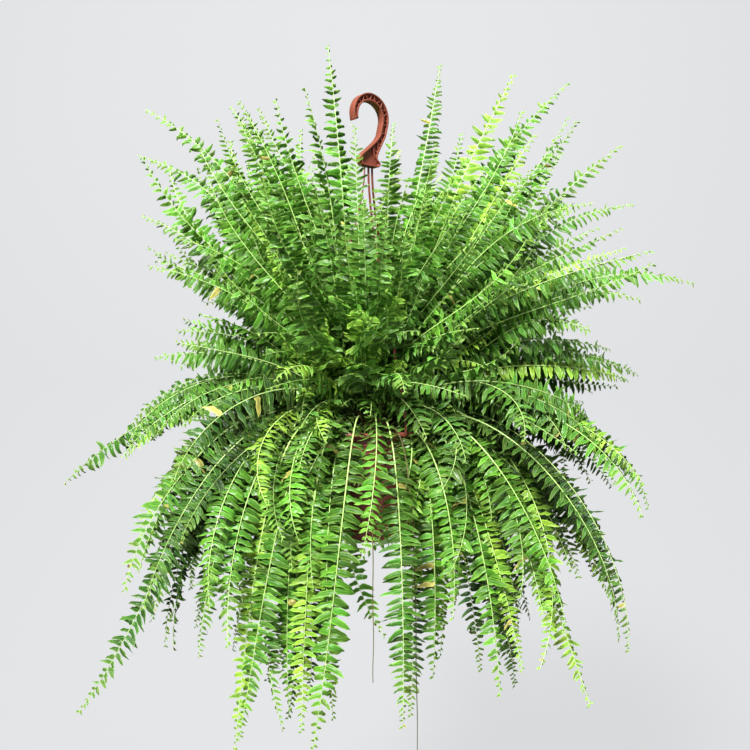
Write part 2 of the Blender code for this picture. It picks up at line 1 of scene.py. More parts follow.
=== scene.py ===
"""Looks of the hanging potted fern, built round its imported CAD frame.

Each CAD frond is a plain lobed solid. Its midrib is read back from the solid, and a stalk with two rows of
wavy leaflets takes its place. Filler fronds of the same make stand between them. Finer surfaces also take the
place of the CAD's runners, hook, straps, pot, saucer, soil and crown.
"""

import math

import bpy
import numpy as np
from bpy.props import FloatProperty, FloatVectorProperty, PointerProperty
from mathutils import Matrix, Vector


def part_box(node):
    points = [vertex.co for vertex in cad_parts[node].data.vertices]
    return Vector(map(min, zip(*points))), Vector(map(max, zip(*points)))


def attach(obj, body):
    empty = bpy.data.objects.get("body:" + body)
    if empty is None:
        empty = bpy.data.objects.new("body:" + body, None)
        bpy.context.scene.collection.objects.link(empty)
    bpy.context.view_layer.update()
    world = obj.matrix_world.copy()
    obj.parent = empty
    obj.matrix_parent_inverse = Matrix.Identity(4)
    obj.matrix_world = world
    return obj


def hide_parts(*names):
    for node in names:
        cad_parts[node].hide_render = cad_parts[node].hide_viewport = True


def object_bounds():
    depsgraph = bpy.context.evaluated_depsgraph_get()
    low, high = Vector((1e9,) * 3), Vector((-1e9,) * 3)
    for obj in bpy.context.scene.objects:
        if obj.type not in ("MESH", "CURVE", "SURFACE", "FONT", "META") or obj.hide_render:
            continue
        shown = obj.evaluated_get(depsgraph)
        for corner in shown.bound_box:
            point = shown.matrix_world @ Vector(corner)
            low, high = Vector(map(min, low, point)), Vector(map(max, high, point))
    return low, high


bl_info = {
    "name": "Hanging Fern",
    "version": (1, 0, 0),
    "blender": (4, 5, 0),
    "location": "3D View > Sidebar > Fern",
    "description": "Makes the leaflets, pot, hanger and stage of a hanging potted fern round its CAD frame",
    "category": "Object",
}

MM = 0.001
BODY = "root"
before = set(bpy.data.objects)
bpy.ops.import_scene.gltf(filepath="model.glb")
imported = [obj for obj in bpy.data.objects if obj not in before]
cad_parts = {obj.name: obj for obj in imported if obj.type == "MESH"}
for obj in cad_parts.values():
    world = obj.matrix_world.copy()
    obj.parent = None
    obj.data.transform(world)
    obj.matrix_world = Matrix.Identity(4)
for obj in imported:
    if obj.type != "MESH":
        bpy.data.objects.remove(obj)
CAD_BOX = [[float(v) for v in corner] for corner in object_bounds()]


# ------------------------------------------------------------------ mesh building

def new_mesh(name, points, faces, sharp_angle=None):
    """A smooth mesh object from points (n, 3) and a list of face arrays, each of shape (faces, corners)."""
    mesh = bpy.data.meshes.new(name)
    sizes = np.concatenate([np.full(len(f), f.shape[1]) for f in faces])
    corners = np.concatenate([f.reshape(-1) for f in faces]).astype(np.int32)
    mesh.vertices.add(len(points))
    mesh.vertices.foreach_set("co", np.ascontiguousarray(points, np.float32).reshape(-1))
    mesh.loops.add(len(corners))
    mesh.loops.foreach_set("vertex_index", corners)
    mesh.polygons.add(len(sizes))
    starts = np.concatenate([[0], np.cumsum(sizes)[:-1]]).astype(np.int32)
    mesh.polygons.foreach_set("loop_start", starts)
    mesh.polygons.foreach_set("loop_total", sizes.astype(np.int32))
    mesh.update(calc_edges=True)
    mesh.validate()
    mesh.shade_smooth()
    if sharp_angle is not None:
        mesh.set_sharp_from_angle(angle=math.radians(sharp_angle))
    thing = bpy.data.objects.new(name, mesh)
    bpy.context.scene.collection.objects.link(thing)
    return thing


def get_points(mesh):
    """A mesh's points, as an array (n, 3)."""
    points = np.empty(len(mesh.vertices) * 3, np.float32)
    mesh.vertices.foreach_get("co", points)
    return points.reshape(-1, 3)


def set_points(mesh, points):
    """Puts rows of x, y and z back into the mesh."""
    mesh.vertices.foreach_set("co", points.reshape(-1))
    mesh.update()


def tube_faces(tubes, rings, corners, first=0):
    """Faces of many closed tubes at once: the quads between rings, then a cap at each end of every tube.

    Point number = first + (tube * rings + ring) * corners + corner.
    """
    start = first + np.arange(tubes)[:, None, None] * rings * corners
    ring = start + np.arange(rings - 1)[None, :, None] * corners
    here = np.arange(corners)[None, None, :]
    after = (here + 1) % corners
    quads = np.stack([ring + here, ring + corners + here, ring + corners + after, ring + after], axis=-1)
    low = start[:, 0] + np.arange(corners)[None, :]
    high = start[:, 0] + (rings - 1) * corners + np.arange(corners)[::-1][None, :]
    return [quads.reshape(-1, 4), np.concatenate([low, high])]


def add_attribute(thing, name, kind, values):
    """A value for each point of the mesh: kind is FLOAT_VECTOR or FLOAT_COLOR."""
    field = {"FLOAT_VECTOR": "vector", "FLOAT_COLOR": "color"}[kind]
    layer = thing.data.attributes.new(name, kind, "POINT")
    layer.data.foreach_set(field, np.ascontiguousarray(values, np.float32).reshape(-1))


def unit(rows):
    """Each row divided by its length."""
    return rows / np.maximum(np.linalg.norm(rows, axis=-1, keepdims=True), 1e-9)


def across(rows, direction):
    """The part of each row that is square to its direction, as a unit vector."""
    return unit(rows - direction * np.sum(rows * direction, axis=-1, keepdims=True))


def smooth_read(stations, rows, at):
    """Rows read between their stations on a cubic Hermite curve whose slopes are the mean of its neighbours'."""
    slope = np.gradient(rows, stations, axis=0)
    index = np.clip(np.searchsorted(stations, at, side="right") - 1, 0, len(stations) - 2)
    width = (stations[index + 1] - stations[index])[:, None]
    t = ((at - stations[index])[:, None]) / width
    a, b = rows[index], rows[index + 1]
    m, n = slope[index] * width, slope[index + 1] * width
    return ((2 * t**3 - 3 * t**2 + 1) * a + (t**3 - 2 * t**2 + t) * m
            + (3 * t**2 - 2 * t**3) * b + (t**3 - t**2) * n)


def run_length(line):
    """The length run along a line up to each of its points."""
    return np.concatenate([[0.0], np.cumsum(np.linalg.norm(np.diff(line, axis=0), axis=1))])


def round_outline(corners):
    """The cosine and sine of evenly spaced angles: points (corners, 2) round a unit circle."""
    angle = np.arange(corners) * math.tau / corners
    return np.stack([np.cos(angle), np.sin(angle)], axis=1)


def turned_points(profile, steps):
    """A profile (n, 2) of radius and height turned about Z: point (step, i) = (r cos a, r sin a, z)."""
    radius, height = profile[None, :, 0], profile[None, :, 1]
    cos, sin = np.split(round_outline(steps), 2, axis=1)
    return np.stack([radius * cos, radius * sin, np.broadcast_to(height, (steps, len(profile)))], axis=-1)


def turned_quads(steps, count, closed):
    """The quads between neighbouring steps of a turned profile, whose last point may join its first."""
    here = np.arange(steps)[:, None] * count
    after = (np.arange(steps)[:, None] + 1) % steps * count
    along = np.arange(count if closed else count - 1)[None, :]
    ahead = (along + 1) % count
    return np.stack([here + along, here + ahead, after + ahead, after + along], axis=-1).reshape(-1, 4)


def turned_ring(name, profile, steps, sharp_angle=40):
    """A turned solid with a hole on its axis, whose profile is a closed loop."""
    points = turned_points(profile, steps).reshape(-1, 3)
    return new_mesh(name, points, [turned_quads(steps, len(profile), closed=True)], sharp_angle)


def turned_solid(name, profile, steps, sharp_angle=40):
    """A turned solid whose profile starts and ends on the axis, where its ends are single points."""
    body = turned_points(profile[1:-1], steps).reshape(-1, 3)
    count = len(profile) - 2
    points = np.concatenate([body, [[0.0, 0.0, profile[0, 1]], [0.0, 0.0, profile[-1, 1]]]])
    here = np.arange(steps) * count
    after = (np.arange(steps) + 1) % steps * count
    top = np.stack([np.full(steps, steps * count), here, after], axis=-1)
    foot = np.stack([np.full(steps, steps * count + 1), after + count - 1, here + count - 1], axis=-1)
    return new_mesh(name, points, [turned_quads(steps, count, closed=False), top, foot], sharp_angle)


def rounded(profile, radius, count=4):
    """The profile with each inner corner replaced by a quadratic curve that starts radius away from it."""
    points = [profile[0]]
    share = np.linspace(0.0, 1.0, count)[:, None]
    for before, corner, after in zip(profile[:-2], profile[1:-1], profile[2:]):
        back, ahead = before - corner, after - corner
        reach_back = min(radius, np.linalg.norm(back) * 0.45)
        reach_on = min(radius, np.linalg.norm(ahead) * 0.45)
        a = corner + back / np.linalg.norm(back) * reach_back
        b = corner + ahead / np.linalg.norm(ahead) * reach_on
        points.extend(a * (1 - share) ** 2 + 2 * corner * share * (1 - share) + b * share**2)
    points.append(profile[-1])
    return np.array(points)


def finish_piece(thing, slot, *nodes, look=None):
    """Gives a piece its finish, which may differ from its slot's, and its body, and hides the CAD nodes it stands
    for.
    """
    thing.data.materials.clear()
    thing.data.materials.append(finish(look or slot))
    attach(thing, BODY)
    if nodes:
        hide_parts(*nodes)
    return thing


# ------------------------------------------------------------------ shader nodes

def set_inputs(tree, target, values):
    """Sets each input of a node, by name or number, or links it where the value is another node's output."""
    for key, value in dict(values).items():
        if isinstance(value, bpy.types.NodeSocket):
            tree.links.new(value, target.inputs[key])
        else:
            target.inputs[key].default_value = value


def node(tree, kind, values=(), **settings):
    """A node with its settings and inputs."""
    made = tree.nodes.new(kind)
    for key, value in settings.items():
        setattr(made, key, value)
    set_inputs(tree, made, values)
    return made


def maths(tree, operation, *values):
    """The result of a Math node, whose inputs are numbers or outputs."""
    return node(tree, "ShaderNodeMath", enumerate(values), operation=operation).outputs[0]


def mapped(tree, value, low, high, start=0.0, end=1.0):
    """The value's place between start and end, carried to between low and high."""
    ends = {"Value": value, "From Min": start, "From Max": end, "To Min": low, "To Max": high}
    return node(tree, "ShaderNodeMapRange", ends).outputs[0]


def mixed(tree, share, a, b, **settings):
    """Colour a, with a share of colour b. A Mix node's colours are its inputs 6 and 7, and its output 2."""
    return node(tree, "ShaderNodeMix", {0: share, 6: a, 7: b}, data_type="RGBA", **settings).outputs[2]


def bumped(tree, height, strength, distance):
    """The normal, tilted by the height's slope."""
    return node(tree, "ShaderNodeBump", {"Height": height, "Strength": strength, "Distance": distance}).outputs[0]


def noise(tree, scale, detail):
    """Noise on object coordinates."""
    place = node(tree, "ShaderNodeTexCoord").outputs["Object"]
    return node(tree, "ShaderNodeTexNoise", {"Vector": place, "Scale": scale, "Detail": detail}).outputs["Fac"]


def mottle_group():
    """Two sizes of noise, 0.65 of the coarse one and 0.35 of the fine one: a value about 0.5, times its spread."""
    group = bpy.data.node_groups.new("Mottle", "ShaderNodeTree")
    for label, default in (("Coarse", 30.0), ("Fine", 400.0), ("Spread", 1.0)):
        made = group.interface.new_socket(label, in_out="INPUT", socket_type="NodeSocketFloat")
        made.default_value = default
    group.interface.new_socket("Value", in_out="OUTPUT", socket_type="NodeSocketFloat")
    enter, leave = group.nodes.new("NodeGroupInput").outputs, group.nodes.new("NodeGroupOutput")
    coarse = maths(group, "MULTIPLY", noise(group, enter["Coarse"], 3.0), 0.65)
    both = maths(group, "MULTIPLY_ADD", noise(group, enter["Fine"], 2.0), 0.35, coarse)
    value = maths(group, "MULTIPLY_ADD", maths(group, "SUBTRACT", both, 0.5), enter["Spread"], 0.5)
    set_inputs(group, leave, {"Value": value})
    return group


def mottle(tree, coarse, fine, spread):
    """The mottle group's value in a material, with the material's own scales and spread."""
    group = bpy.data.node_groups.get("Mottle") or mottle_group()
    values = {"Coarse": coarse, "Fine": fine, "Spread": spread}
    return node(tree, "ShaderNodeGroup", values, node_tree=group).outputs["Value"]


def new_material(name):
    """A material with its tree and its Principled BSDF."""
    made = bpy.data.materials.new(name)
    made.use_nodes = True
    return made, made.node_tree, made.node_tree.nodes["Principled BSDF"]


# ------------------------------------------------------------------ materials

PALE_MIDRIB = (0.30, 0.47, 0.10, 1.0)
PALE_UNDERSIDE = (0.12, 0.24, 0.045, 1.0)
# the margins are partly a yellower colour and partly a painted highlight, where glossy leaf edges would catch the
# light
MARGIN_HIGHLIGHT_GAIN, MARGIN_HIGHLIGHT_LIFT = (1.9, 1.9, 1.9), (0.19, 0.24, 0.06)  # a margin is the tint times one, plus the other
VEIN_SLANT, VEIN_RATE = -0.16, 82.0
# colours of the dark and light parts, scales of the coarse and fine noise, and depth of the bump
EARTHY = {
    "potting_mix": ((0.012, 0.008, 0.005), (0.085, 0.055, 0.033), 90.0, 900.0, 0.002),
    "perlite": ((0.50, 0.48, 0.44), (0.78, 0.76, 0.72), 300.0, 1500.0, 0.0004),
    "root_stock": ((0.045, 0.024, 0.010), (0.26, 0.17, 0.075), 140.0, 1100.0, 0.0015),
    "runner_stem": ((0.075, 0.055, 0.022), (0.21, 0.20, 0.07), 200.0, 1500.0, 0.0003),
}


def leaf_material(name):
    """Glossy leaf: the tint of each leaflet, a pale midrib, margins that are yellower and brightened by a painted
    highlight, side veins and a paler underside.

    The attribute place holds (share along the leaflet, share across it from -1 to 1, 1 on the underside).
    """
    look, tree, shader = new_material(name)
    tint = node(tree, "ShaderNodeAttribute", attribute_name="tint").outputs["Color"]
    place = node(tree, "ShaderNodeAttribute", attribute_name="place").outputs["Vector"]
    along, side, beneath = node(tree, "ShaderNodeSeparateXYZ", {0: place}).outputs
    side = maths(tree, "ABSOLUTE", side)
    clouds = mottle(tree, 60.0, 700.0, 1.3)
    colour = mixed(tree, mapped(tree, side, 0.30, 0.0, end=0.20), tint, PALE_MIDRIB)
    # yellower tips and margins; the margins are brightened further as a painted highlight along the glossy edges
    edge = maths(tree, "ADD", mapped(tree, side, 0.0, 0.66, start=0.45), mapped(tree, along, 0.0, 0.22, start=0.35))
    margin = node(tree, "ShaderNodeVectorMath", {0: tint, 1: MARGIN_HIGHLIGHT_GAIN, 2: MARGIN_HIGHLIGHT_LIFT}, operation="MULTIPLY_ADD")
    colour = mixed(tree, edge, colour, margin.outputs[0])
    colour = mixed(tree, maths(tree, "MULTIPLY", beneath, 0.35), colour, PALE_UNDERSIDE)
    colour = mixed(tree, 1.0, colour, mapped(tree, clouds, 0.68, 1.32), blend_type="MULTIPLY")
    veins = maths(tree, "MULTIPLY_ADD", side, VEIN_SLANT, along)
    veins = maths(tree, "SINE", maths(tree, "MULTIPLY", veins, VEIN_RATE))
    set_inputs(tree, shader, {
        "Base Color": colour, "Roughness": mapped(tree, clouds, 0.18, 0.34), "Specular IOR Level": 0.38,
        "Normal": bumped(tree, veins, 0.4, 0.0004)})
    return look


def plastic_material(name, colour, dusty):
    """Moulded terracotta plastic: faint clouding, a dusty bloom on faces that look up, and a fine mould grain."""
    look, tree, shader = new_material(name)
    clouds = mottle(tree, 22.0, 260.0, 1.5)
    cloudy = mixed(tree, clouds, (*[c * 0.78 for c in colour], 1.0), (*colour, 1.0))
    facing = node(tree, "ShaderNodeSeparateXYZ", {0: node(tree, "ShaderNodeNewGeometry").outputs["Normal"]})
    bloom = maths(tree, "MULTIPLY", mapped(tree, facing.outputs["Z"], 0.04, 0.32, start=-0.2), clouds)
    set_inputs(tree, shader, {
        "Base Color": mixed(tree, bloom, cloudy, (*dusty, 1.0)),
        "Roughness": mapped(tree, clouds, 0.34, 0.56), "Specular IOR Level": 0.45,
        "Normal": bumped(tree, noise(tree, 1500.0, 2.0), 0.12, 0.0002)})
    return look


def earthy_material(name, dark, light, coarse, fine, depth):
    """Soil, roots and stems: two colours mixed by noise, rough, with a crumbly bump."""
    look, tree, shader = new_material(name)
    lumps = mottle(tree, coarse, fine, 2.2)
    set_inputs(tree, shader, {
        "Base Color": mixed(tree, lumps, (*dark, 1.0), (*light, 1.0)),
        "Roughness": 0.92, "Specular IOR Level": 0.2, "Normal": bumped(tree, lumps, 0.8, depth)})
    return look


def finish(slot):
    """The finish of a material slot, or of the perlite in the potting mix, made once."""
    name = f"{slot}_look"
    done = bpy.data.materials.get(name)
    if done:
        return done
    if slot == "leaf":
        return leaf_material(name)
    if slot == "terracotta_plastic":
        pot = bpy.context.scene.fern_pot
        return plastic_material(name, tuple(pot.colour), tuple(pot.dust))
    return earthy_material(name, *EARTHY[slot])


# ------------------------------------------------------------------ fronds

LEAF_STATIONS = np.array([0.0, 0.10, 0.29, 0.52, 0.77, 1.0])
# points across a leaflet, the last of them the keel beneath: of an outline frond and of a filler
LEAF_ACROSS = np.array([-1.0, -0.5, 0.0, 0.5, 1.0, 0.0])
FILLER_ACROSS = np.array([-1.0, 0.0, 1.0, 0.0])
LEAF_SWEEP = 0.26  # radians that a leaflet turns towards the frond's tip along its own length
LEAF_WEIGHT = 0.16  # how far its weight turns the spine's direction down, at its tip
EAR_WIDTH, EAR_PLACE, EAR_REACH = 0.28, 0.08, 0.09  # of the lobe on one side of a leaflet's base
WAVES, WAVE_SHIFT = 1.7, 1.3  # waves along a leaflet's margins, and radians between its margin and its middle
WAVE_HEIGHT, MARGIN_FALL, DOME_HEIGHT, KEEL_DEPTH = 0.46, 0.16, 0.14, 0.10  # in half widths of the leaflet
LEAF_THICKNESS = 0.00012
BARE_STALK = 0.15  # share of a frond below its first leaflets
STALK_SIDES = 6
STALK_RINGS = 40
MIDRIB_POINTS = 72


def leaf_outline(u):
    """Half a leaflet's width along it, as a share: a quick swell to an eared base, then a long taper."""
    swell = 1 - 0.70 * (1 - np.clip(u / 0.16, 0, 1)) ** 2
    taper = (1 - 0.975 * u**2.3) ** 0.66
    return swell * taper


def leaflet_points(v, base, along, side, normal, sign, length, half_width, lean, droop, curl, twist, lift, phase):
    """Points of all of a frond's leaflets: (leaflet, station, corner, 3), with the corners at v across.

    With u from 0 at the stalk to 1 at the tip, the spine leaves along side * sign, leaning towards the
    frond's tip by lean + LEAF_SWEEP u, and falls below the blade's plane by droop + curl u squared. Its steps
    are summed to give its points. The cross-section's half width is half_width * outline(u). It is rolled
    about the spine by lift + twist u, each half of it is domed, and its margins wave as a sine along u.
    """
    u = LEAF_STATIONS[None, :, None]
    sign, lean, droop, curl, twist, lift = (a[:, None, None] for a in (sign, lean, droop, curl, twist, lift))
    along, side, normal = along[:, None, :], side[:, None, :], normal[:, None, :]
    forward = lean + LEAF_SWEEP * u
    level = side * sign * np.cos(forward) + along * np.sin(forward)
    fall = droop + curl * u**2
    spine = unit(level * np.cos(fall) - normal * np.sin(fall) + np.array([0.0, 0.0, -LEAF_WEIGHT]) * u)
    step = np.diff(LEAF_STATIONS)[None, :, None] * length[:, None, None]
    run = np.cumsum((spine[:, 1:] + spine[:, :-1]) / 2 * step, axis=1)
    middle = base[:, None, :] + np.concatenate([np.zeros_like(run[:, :1]), run], axis=1)
    up = across(np.broadcast_to(normal, spine.shape), spine)
    wide = np.cross(up, spine)
    roll = -sign * (lift + twist * u)
    wide, up = wide * np.cos(roll) + up * np.sin(roll), up * np.cos(roll) - wide * np.sin(roll)
    v = v[None, None, :]
    half = half_width[:, None] * leaf_outline(LEAF_STATIONS)[None, :]
    ear = 1 + EAR_WIDTH * np.exp(-((u - EAR_PLACE) / EAR_REACH) ** 2) * (v * -sign[..., 0, None] > 0)
    wave = np.sin(math.tau * WAVES * u + phase[:, None, None] + WAVE_SHIFT * v)
    margin = half[..., None] * (WAVE_HEIGHT * wave - MARGIN_FALL) * np.abs(v)
    dome = half[..., None] * DOME_HEIGHT * (np.abs(v) == 0.5)
    height = margin * np.where(np.abs(v) == 0.5, 0.45, 1.0) + dome
    keel = np.arange(v.size) == v.size - 1
    height = height - keel * (KEEL_DEPTH * half[..., None] + LEAF_THICKNESS)
    offset = wide[:, :, None, :] * (half[..., None] * v * ear)[..., None] + up[:, :, None, :] * height[..., None]
    return middle[:, :, None, :] + offset


def leaflet_length(share):
    """Length of a leaflet by its place along the blade, as a share of the longest."""
    rise = 0.42 + 0.58 * np.clip(share / 0.22, 0, 1) ** 0.8
    fall = 1 - np.clip(share, 0, 1) ** 5.0
    return np.maximum(rise * fall, 0.20)


def stalk_points(line, along, normal, radius):
    """Points of a stalk: rings square to its line, whose radius falls evenly to a fifth at the tip."""
    fine, share = np.linspace(0.0, 1.0, len(line)), np.linspace(0.0, 1.0, STALK_RINGS)
    direction = unit(smooth_read(fine, along, share))
    up = across(smooth_read(fine, normal, share), direction)
    flank = np.cross(up, direction)
    ring = round_outline(STALK_SIDES)[None, :, :]
    around = up[:, None, :] * ring[..., :1] + flank[:, None, :] * ring[..., 1:]
    return smooth_read(fine, line, share)[:, None, :] + around * (radius * (1 - 0.80 * share))[:, None, None]


def frond_object(name, line, along, side, normal, chance, leaf, tone, section):
    """One finished frond: a stalk that tapers and two rows of leaflets, with the given points across.

    line and its axes are sampled evenly from base to tip. tone is (colour, variation, yellowing).
    """
    fine = np.linspace(0.0, 1.0, len(line))
    # leaflets, in pairs a little out of step
    pairs = max(int(run_length(line)[-1] * (1 - BARE_STALK) / leaf["spacing"]), 8)
    share = ((np.arange(pairs) + 0.5) / pairs) ** 0.93
    share = np.concatenate([share, np.clip(share + 0.35 / pairs, 0, 1)])
    sign = np.repeat([1.0, -1.0], pairs)
    count = len(share)
    at = BARE_STALK + (1 - BARE_STALK) * np.clip(share + chance.normal(0, 0.10 / pairs, count), 0, 0.998)
    base, t, s, n = (smooth_read(fine, rows, at) for rows in (line, along, side, normal))
    t = unit(t)
    n = across(n, t)
    s = across(s - n * np.sum(s * n, axis=1, keepdims=True), t)
    size = leaflet_length(share) * (1 + chance.normal(0, 0.07, count))
    long = leaf["length"] * size
    half = leaf["width"] / 2 * (0.20 + 0.80 * size) * (1 + chance.normal(0, 0.08, count))
    half = np.minimum(half, long * 0.42)
    lean = math.radians(2) + math.radians(30) * share**3 + chance.normal(0, 0.13, count)
    droop = leaf["droop"] + chance.normal(0, 0.16, count)
    curl = leaf["curl"] * (0.6 + 0.9 * chance.random(count)) * chance.choice([1.0, 1.0, 1.0, -0.5], count)
    twist = chance.normal(0.15, leaf["twist"], count)
    lift = chance.normal(0.30, 0.20, count)
    phase = chance.uniform(0, math.tau, count)
    stalk_radius = leaf["stalk"] * (1 - 0.72 * at)
    base = base + s * (sign * stalk_radius * 0.7)[:, None] - n * (stalk_radius * 0.45)[:, None]
    points = leaflet_points(section, base, t, s, n, sign, long, half, lean, droop, curl, twist, lift, phase)
    # the stalk follows the leaflets in the mesh
    stalk = stalk_points(line, along, normal, leaf["stalk"])
    shape = (count, len(LEAF_STATIONS), len(section))
    faces = tube_faces(*shape) + tube_faces(1, STALK_RINGS, STALK_SIDES, math.prod(shape))
    everything = np.concatenate([points.reshape(-1, 3), stalk.reshape(-1, 3)])
    thing = new_mesh(name, everything, faces, sharp_angle=75)
    # where each point is on its leaflet, and its colour
    u = np.broadcast_to(LEAF_STATIONS[None, :, None], shape)
    v = np.broadcast_to(section[None, None, :], shape)
    beneath = np.broadcast_to(np.arange(len(section)) == len(section) - 1.0, shape)
    place = np.stack([u, v, beneath], axis=-1).reshape(-1, 3)
    stalk_place = np.tile([0.5, 1.0, 0.0], (STALK_RINGS * STALK_SIDES, 1))
    add_attribute(thing, "place", "FLOAT_VECTOR", np.concatenate([place, stalk_place]))
    tint = np.broadcast_to(leaf_colours(tone, share, chance)[:, None, None, :], (*shape, 3))
    stem = stem_colours(tone, np.linspace(0.0, 1.0, STALK_RINGS))
    stem = np.broadcast_to(stem[:, None, :], (STALK_RINGS, STALK_SIDES, 3))
    rgb = np.concatenate([tint.reshape(-1, 3), stem.reshape(-1, 3)])
    add_attribute(thing, "tint", "FLOAT_COLOR", np.concatenate([rgb, np.ones((len(rgb), 1))], axis=1))
    return thing


def leaf_colours(tone, share, chance):
    """A colour for each leaflet: the frond's own, darkened towards its base by painted shade of the crowded crown,
    and fresher at its tip.

    Some leaflets are lighter or warmer than their neighbours, and a few are yellowed.
    """
    colour, variation, yellowing = tone
    light = 1 + variation * chance.normal(0, 1, len(share)) + 0.30 * share**2
    # painted shade: leaflets nearer the crown are darkened, standing in for the shade that the fronds cast inside the
    # plant
    light = light * (0.38 + 0.62 * np.clip(share / 0.55, 0, 1))
    rows = colour[None, :] * np.clip(light, 0.30, 1.9)[:, None]
    fresh = np.array([0.27, 0.45, 0.07])
    tips = (0.55 * np.clip((share - 0.72) / 0.28, 0, 1) ** 1.5)[:, None]
    rows = rows * (1 - tips) + fresh * tips
    warm = np.clip(chance.normal(0.0, 0.10, len(share)), -0.2, 0.25)[:, None]
    rows = rows * (1 + warm * np.array([1.0, 0.1, -0.6]))
    old = chance.random(len(share)) < yellowing
    faded = np.array([0.42, 0.37, 0.09]) * (0.6 + 0.6 * chance.random(len(share)))[:, None]
    return np.where(old[:, None], faded, rows)


def stem_colours(tone, share):
    """Brown at the crown, then the pale green of a stalk."""
    brown = np.array([0.13, 0.075, 0.028])
    green = np.array(tone[0]) * 0.45 + np.array([0.22, 0.29, 0.11])
    fade = np.clip(share / 0.16, 0, 1)[:, None]
    return brown * (1 - fade) + green * fade


def welded_node(name):
    """A CAD node's points with doubles made one, and its triangles."""
    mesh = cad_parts[name].data
    points = get_points(mesh).astype(float)
    corners = np.empty(len(mesh.loops), np.int32)
    mesh.loops.foreach_get("vertex_index", corners)
    _, first, inverse = np.unique(
        np.round(points / (0.01 * MM)).astype(np.int64), axis=0, return_index=True, return_inverse=True)
    return points[first], inverse.reshape(-1)[corners].reshape(-1, 3)


def numbered_rings(points, triangles, start):
    """For each point, the number of edges between it and the nearest of the start points."""
    joined = np.zeros((len(points), len(points)), bool)
    for a, b in ((0, 1), (1, 2), (2, 0)):
        joined[triangles[:, a], triangles[:, b]] = True
        joined[triangles[:, b], triangles[:, a]] = True
    ring = np.full(len(points), -1)
    front = np.zeros(len(points), bool)
    front[start] = True
    number = 0
    while front.any():
        ring[front] = number
        front = joined[front].any(axis=0) & (ring < 0)
        number += 1
    return ring


def crown_size():
    """The crown's radius and height, and the level of its foot."""
    low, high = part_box("crown")
    return (high[0] - low[0]) / 2, high[2] - low[2], low[2]


def crown_level(points):
    """How far out each point is, in sizes of the crown's half ellipsoid."""
    radius, height, foot = crown_size()
    return np.hypot(np.hypot(points[:, 0], points[:, 1]) / radius, (points[:, 2] - foot) / height)


def read_midrib(name):
    """The midrib, direction, side and upper normal of a CAD frond, evenly sampled from base to tip.

    The solid is a loft of rings of four corners. A corner's ring is the number of edges between it and the
    four corners nearest the crown. In a ring the two corners furthest apart are the blade's edges, which
    hang a little below the middle of the other two.
    """
    points, triangles = welded_node(name)
    ring = numbered_rings(points, triangles, np.argsort(crown_level(points))[:4])
    order = np.argsort(ring, kind="stable")
    if np.any(np.bincount(ring[ring >= 0]) != 4) or np.any(ring < 0):
        raise RuntimeError(f"{name} isn't a loft of rings of four corners")
    rings = points[order].reshape(-1, 4, 3)
    gaps = np.linalg.norm(rings[:, :, None] - rings[:, None], axis=-1).reshape(len(rings), 16)
    far = np.argmax(gaps, axis=1)
    edge_a, edge_b = far // 4, far % 4
    rows = np.arange(len(rings))
    edges = rings[rows, edge_a] + rings[rows, edge_b]
    middle = (rings.sum(axis=1) - edges) / 2
    above = middle - edges / 2
    above[:3] = above[3]
    lengths = run_length(middle)
    share = lengths / lengths[-1]
    at = np.linspace(0.0, 1.0, MIDRIB_POINTS)
    line = smooth_read(share, middle, at)
    along = unit(np.gradient(line, axis=0))
    normal = across(smooth_read(share, unit(above), at), along)
    return line, along, np.cross(normal, along), normal


def turned_blade(line, azimuth, roll):
    """The direction, side and upper normal of a filler's midrib: at the sides the upper face turns to the front."""
    along = unit(np.gradient(line, axis=0))
    flank = np.array([-math.sin(azimuth), math.cos(azimuth), 0.0])
    normal = np.cross(along, np.broadcast_to(flank, along.shape))
    light = across(np.broadcast_to(np.array([0.0, -1.0, 0.35]), along.shape), along)
    turn = 0.62 * abs(math.cos(azimuth)) * np.clip(np.linspace(0.0, 3.0, len(line)), 0, 1)[:, None]
    normal = across(normal * (1 - turn) + light * turn, along)
    side = np.cross(normal, along)
    normal = normal * math.cos(roll) + side * math.sin(roll)
    return along, np.cross(normal, along), normal


def evened(line):
    """The line, sampled evenly by length."""
    lengths = run_length(line)
    return smooth_read(lengths / lengths[-1], line, np.linspace(0.0, 1.0, len(line)))


def frond_tone(tip, young, chance):
    """A frond's colour by the height of its tip: deep green low down, yellow green at the top."""
    low, high = CAD_BOX[0][2], CAD_BOX[1][2]
    share = np.clip((tip[2] - low) / (high - low), 0, 1)
    fern = bpy.context.scene.fern_leaves
    deep, bright, fresh = (np.array(c) for c in (fern.deep, fern.bright, fern.young))
    low_front = float(share < 0.35 and tip[1] < -0.12 and abs(tip[0]) < 0.22)
    blend = np.clip(0.08 + 0.85 * share + 0.60 * low_front - 0.12 * abs(tip[0]) + chance.normal(0, 0.18), 0, 1)
    colour = deep * (1 - blend) + bright * blend
    if young:
        colour = colour * 0.25 + fresh * 0.75
    return colour, 0.28, 0.003 + 0.014 * (share < 0.45) * chance.random()


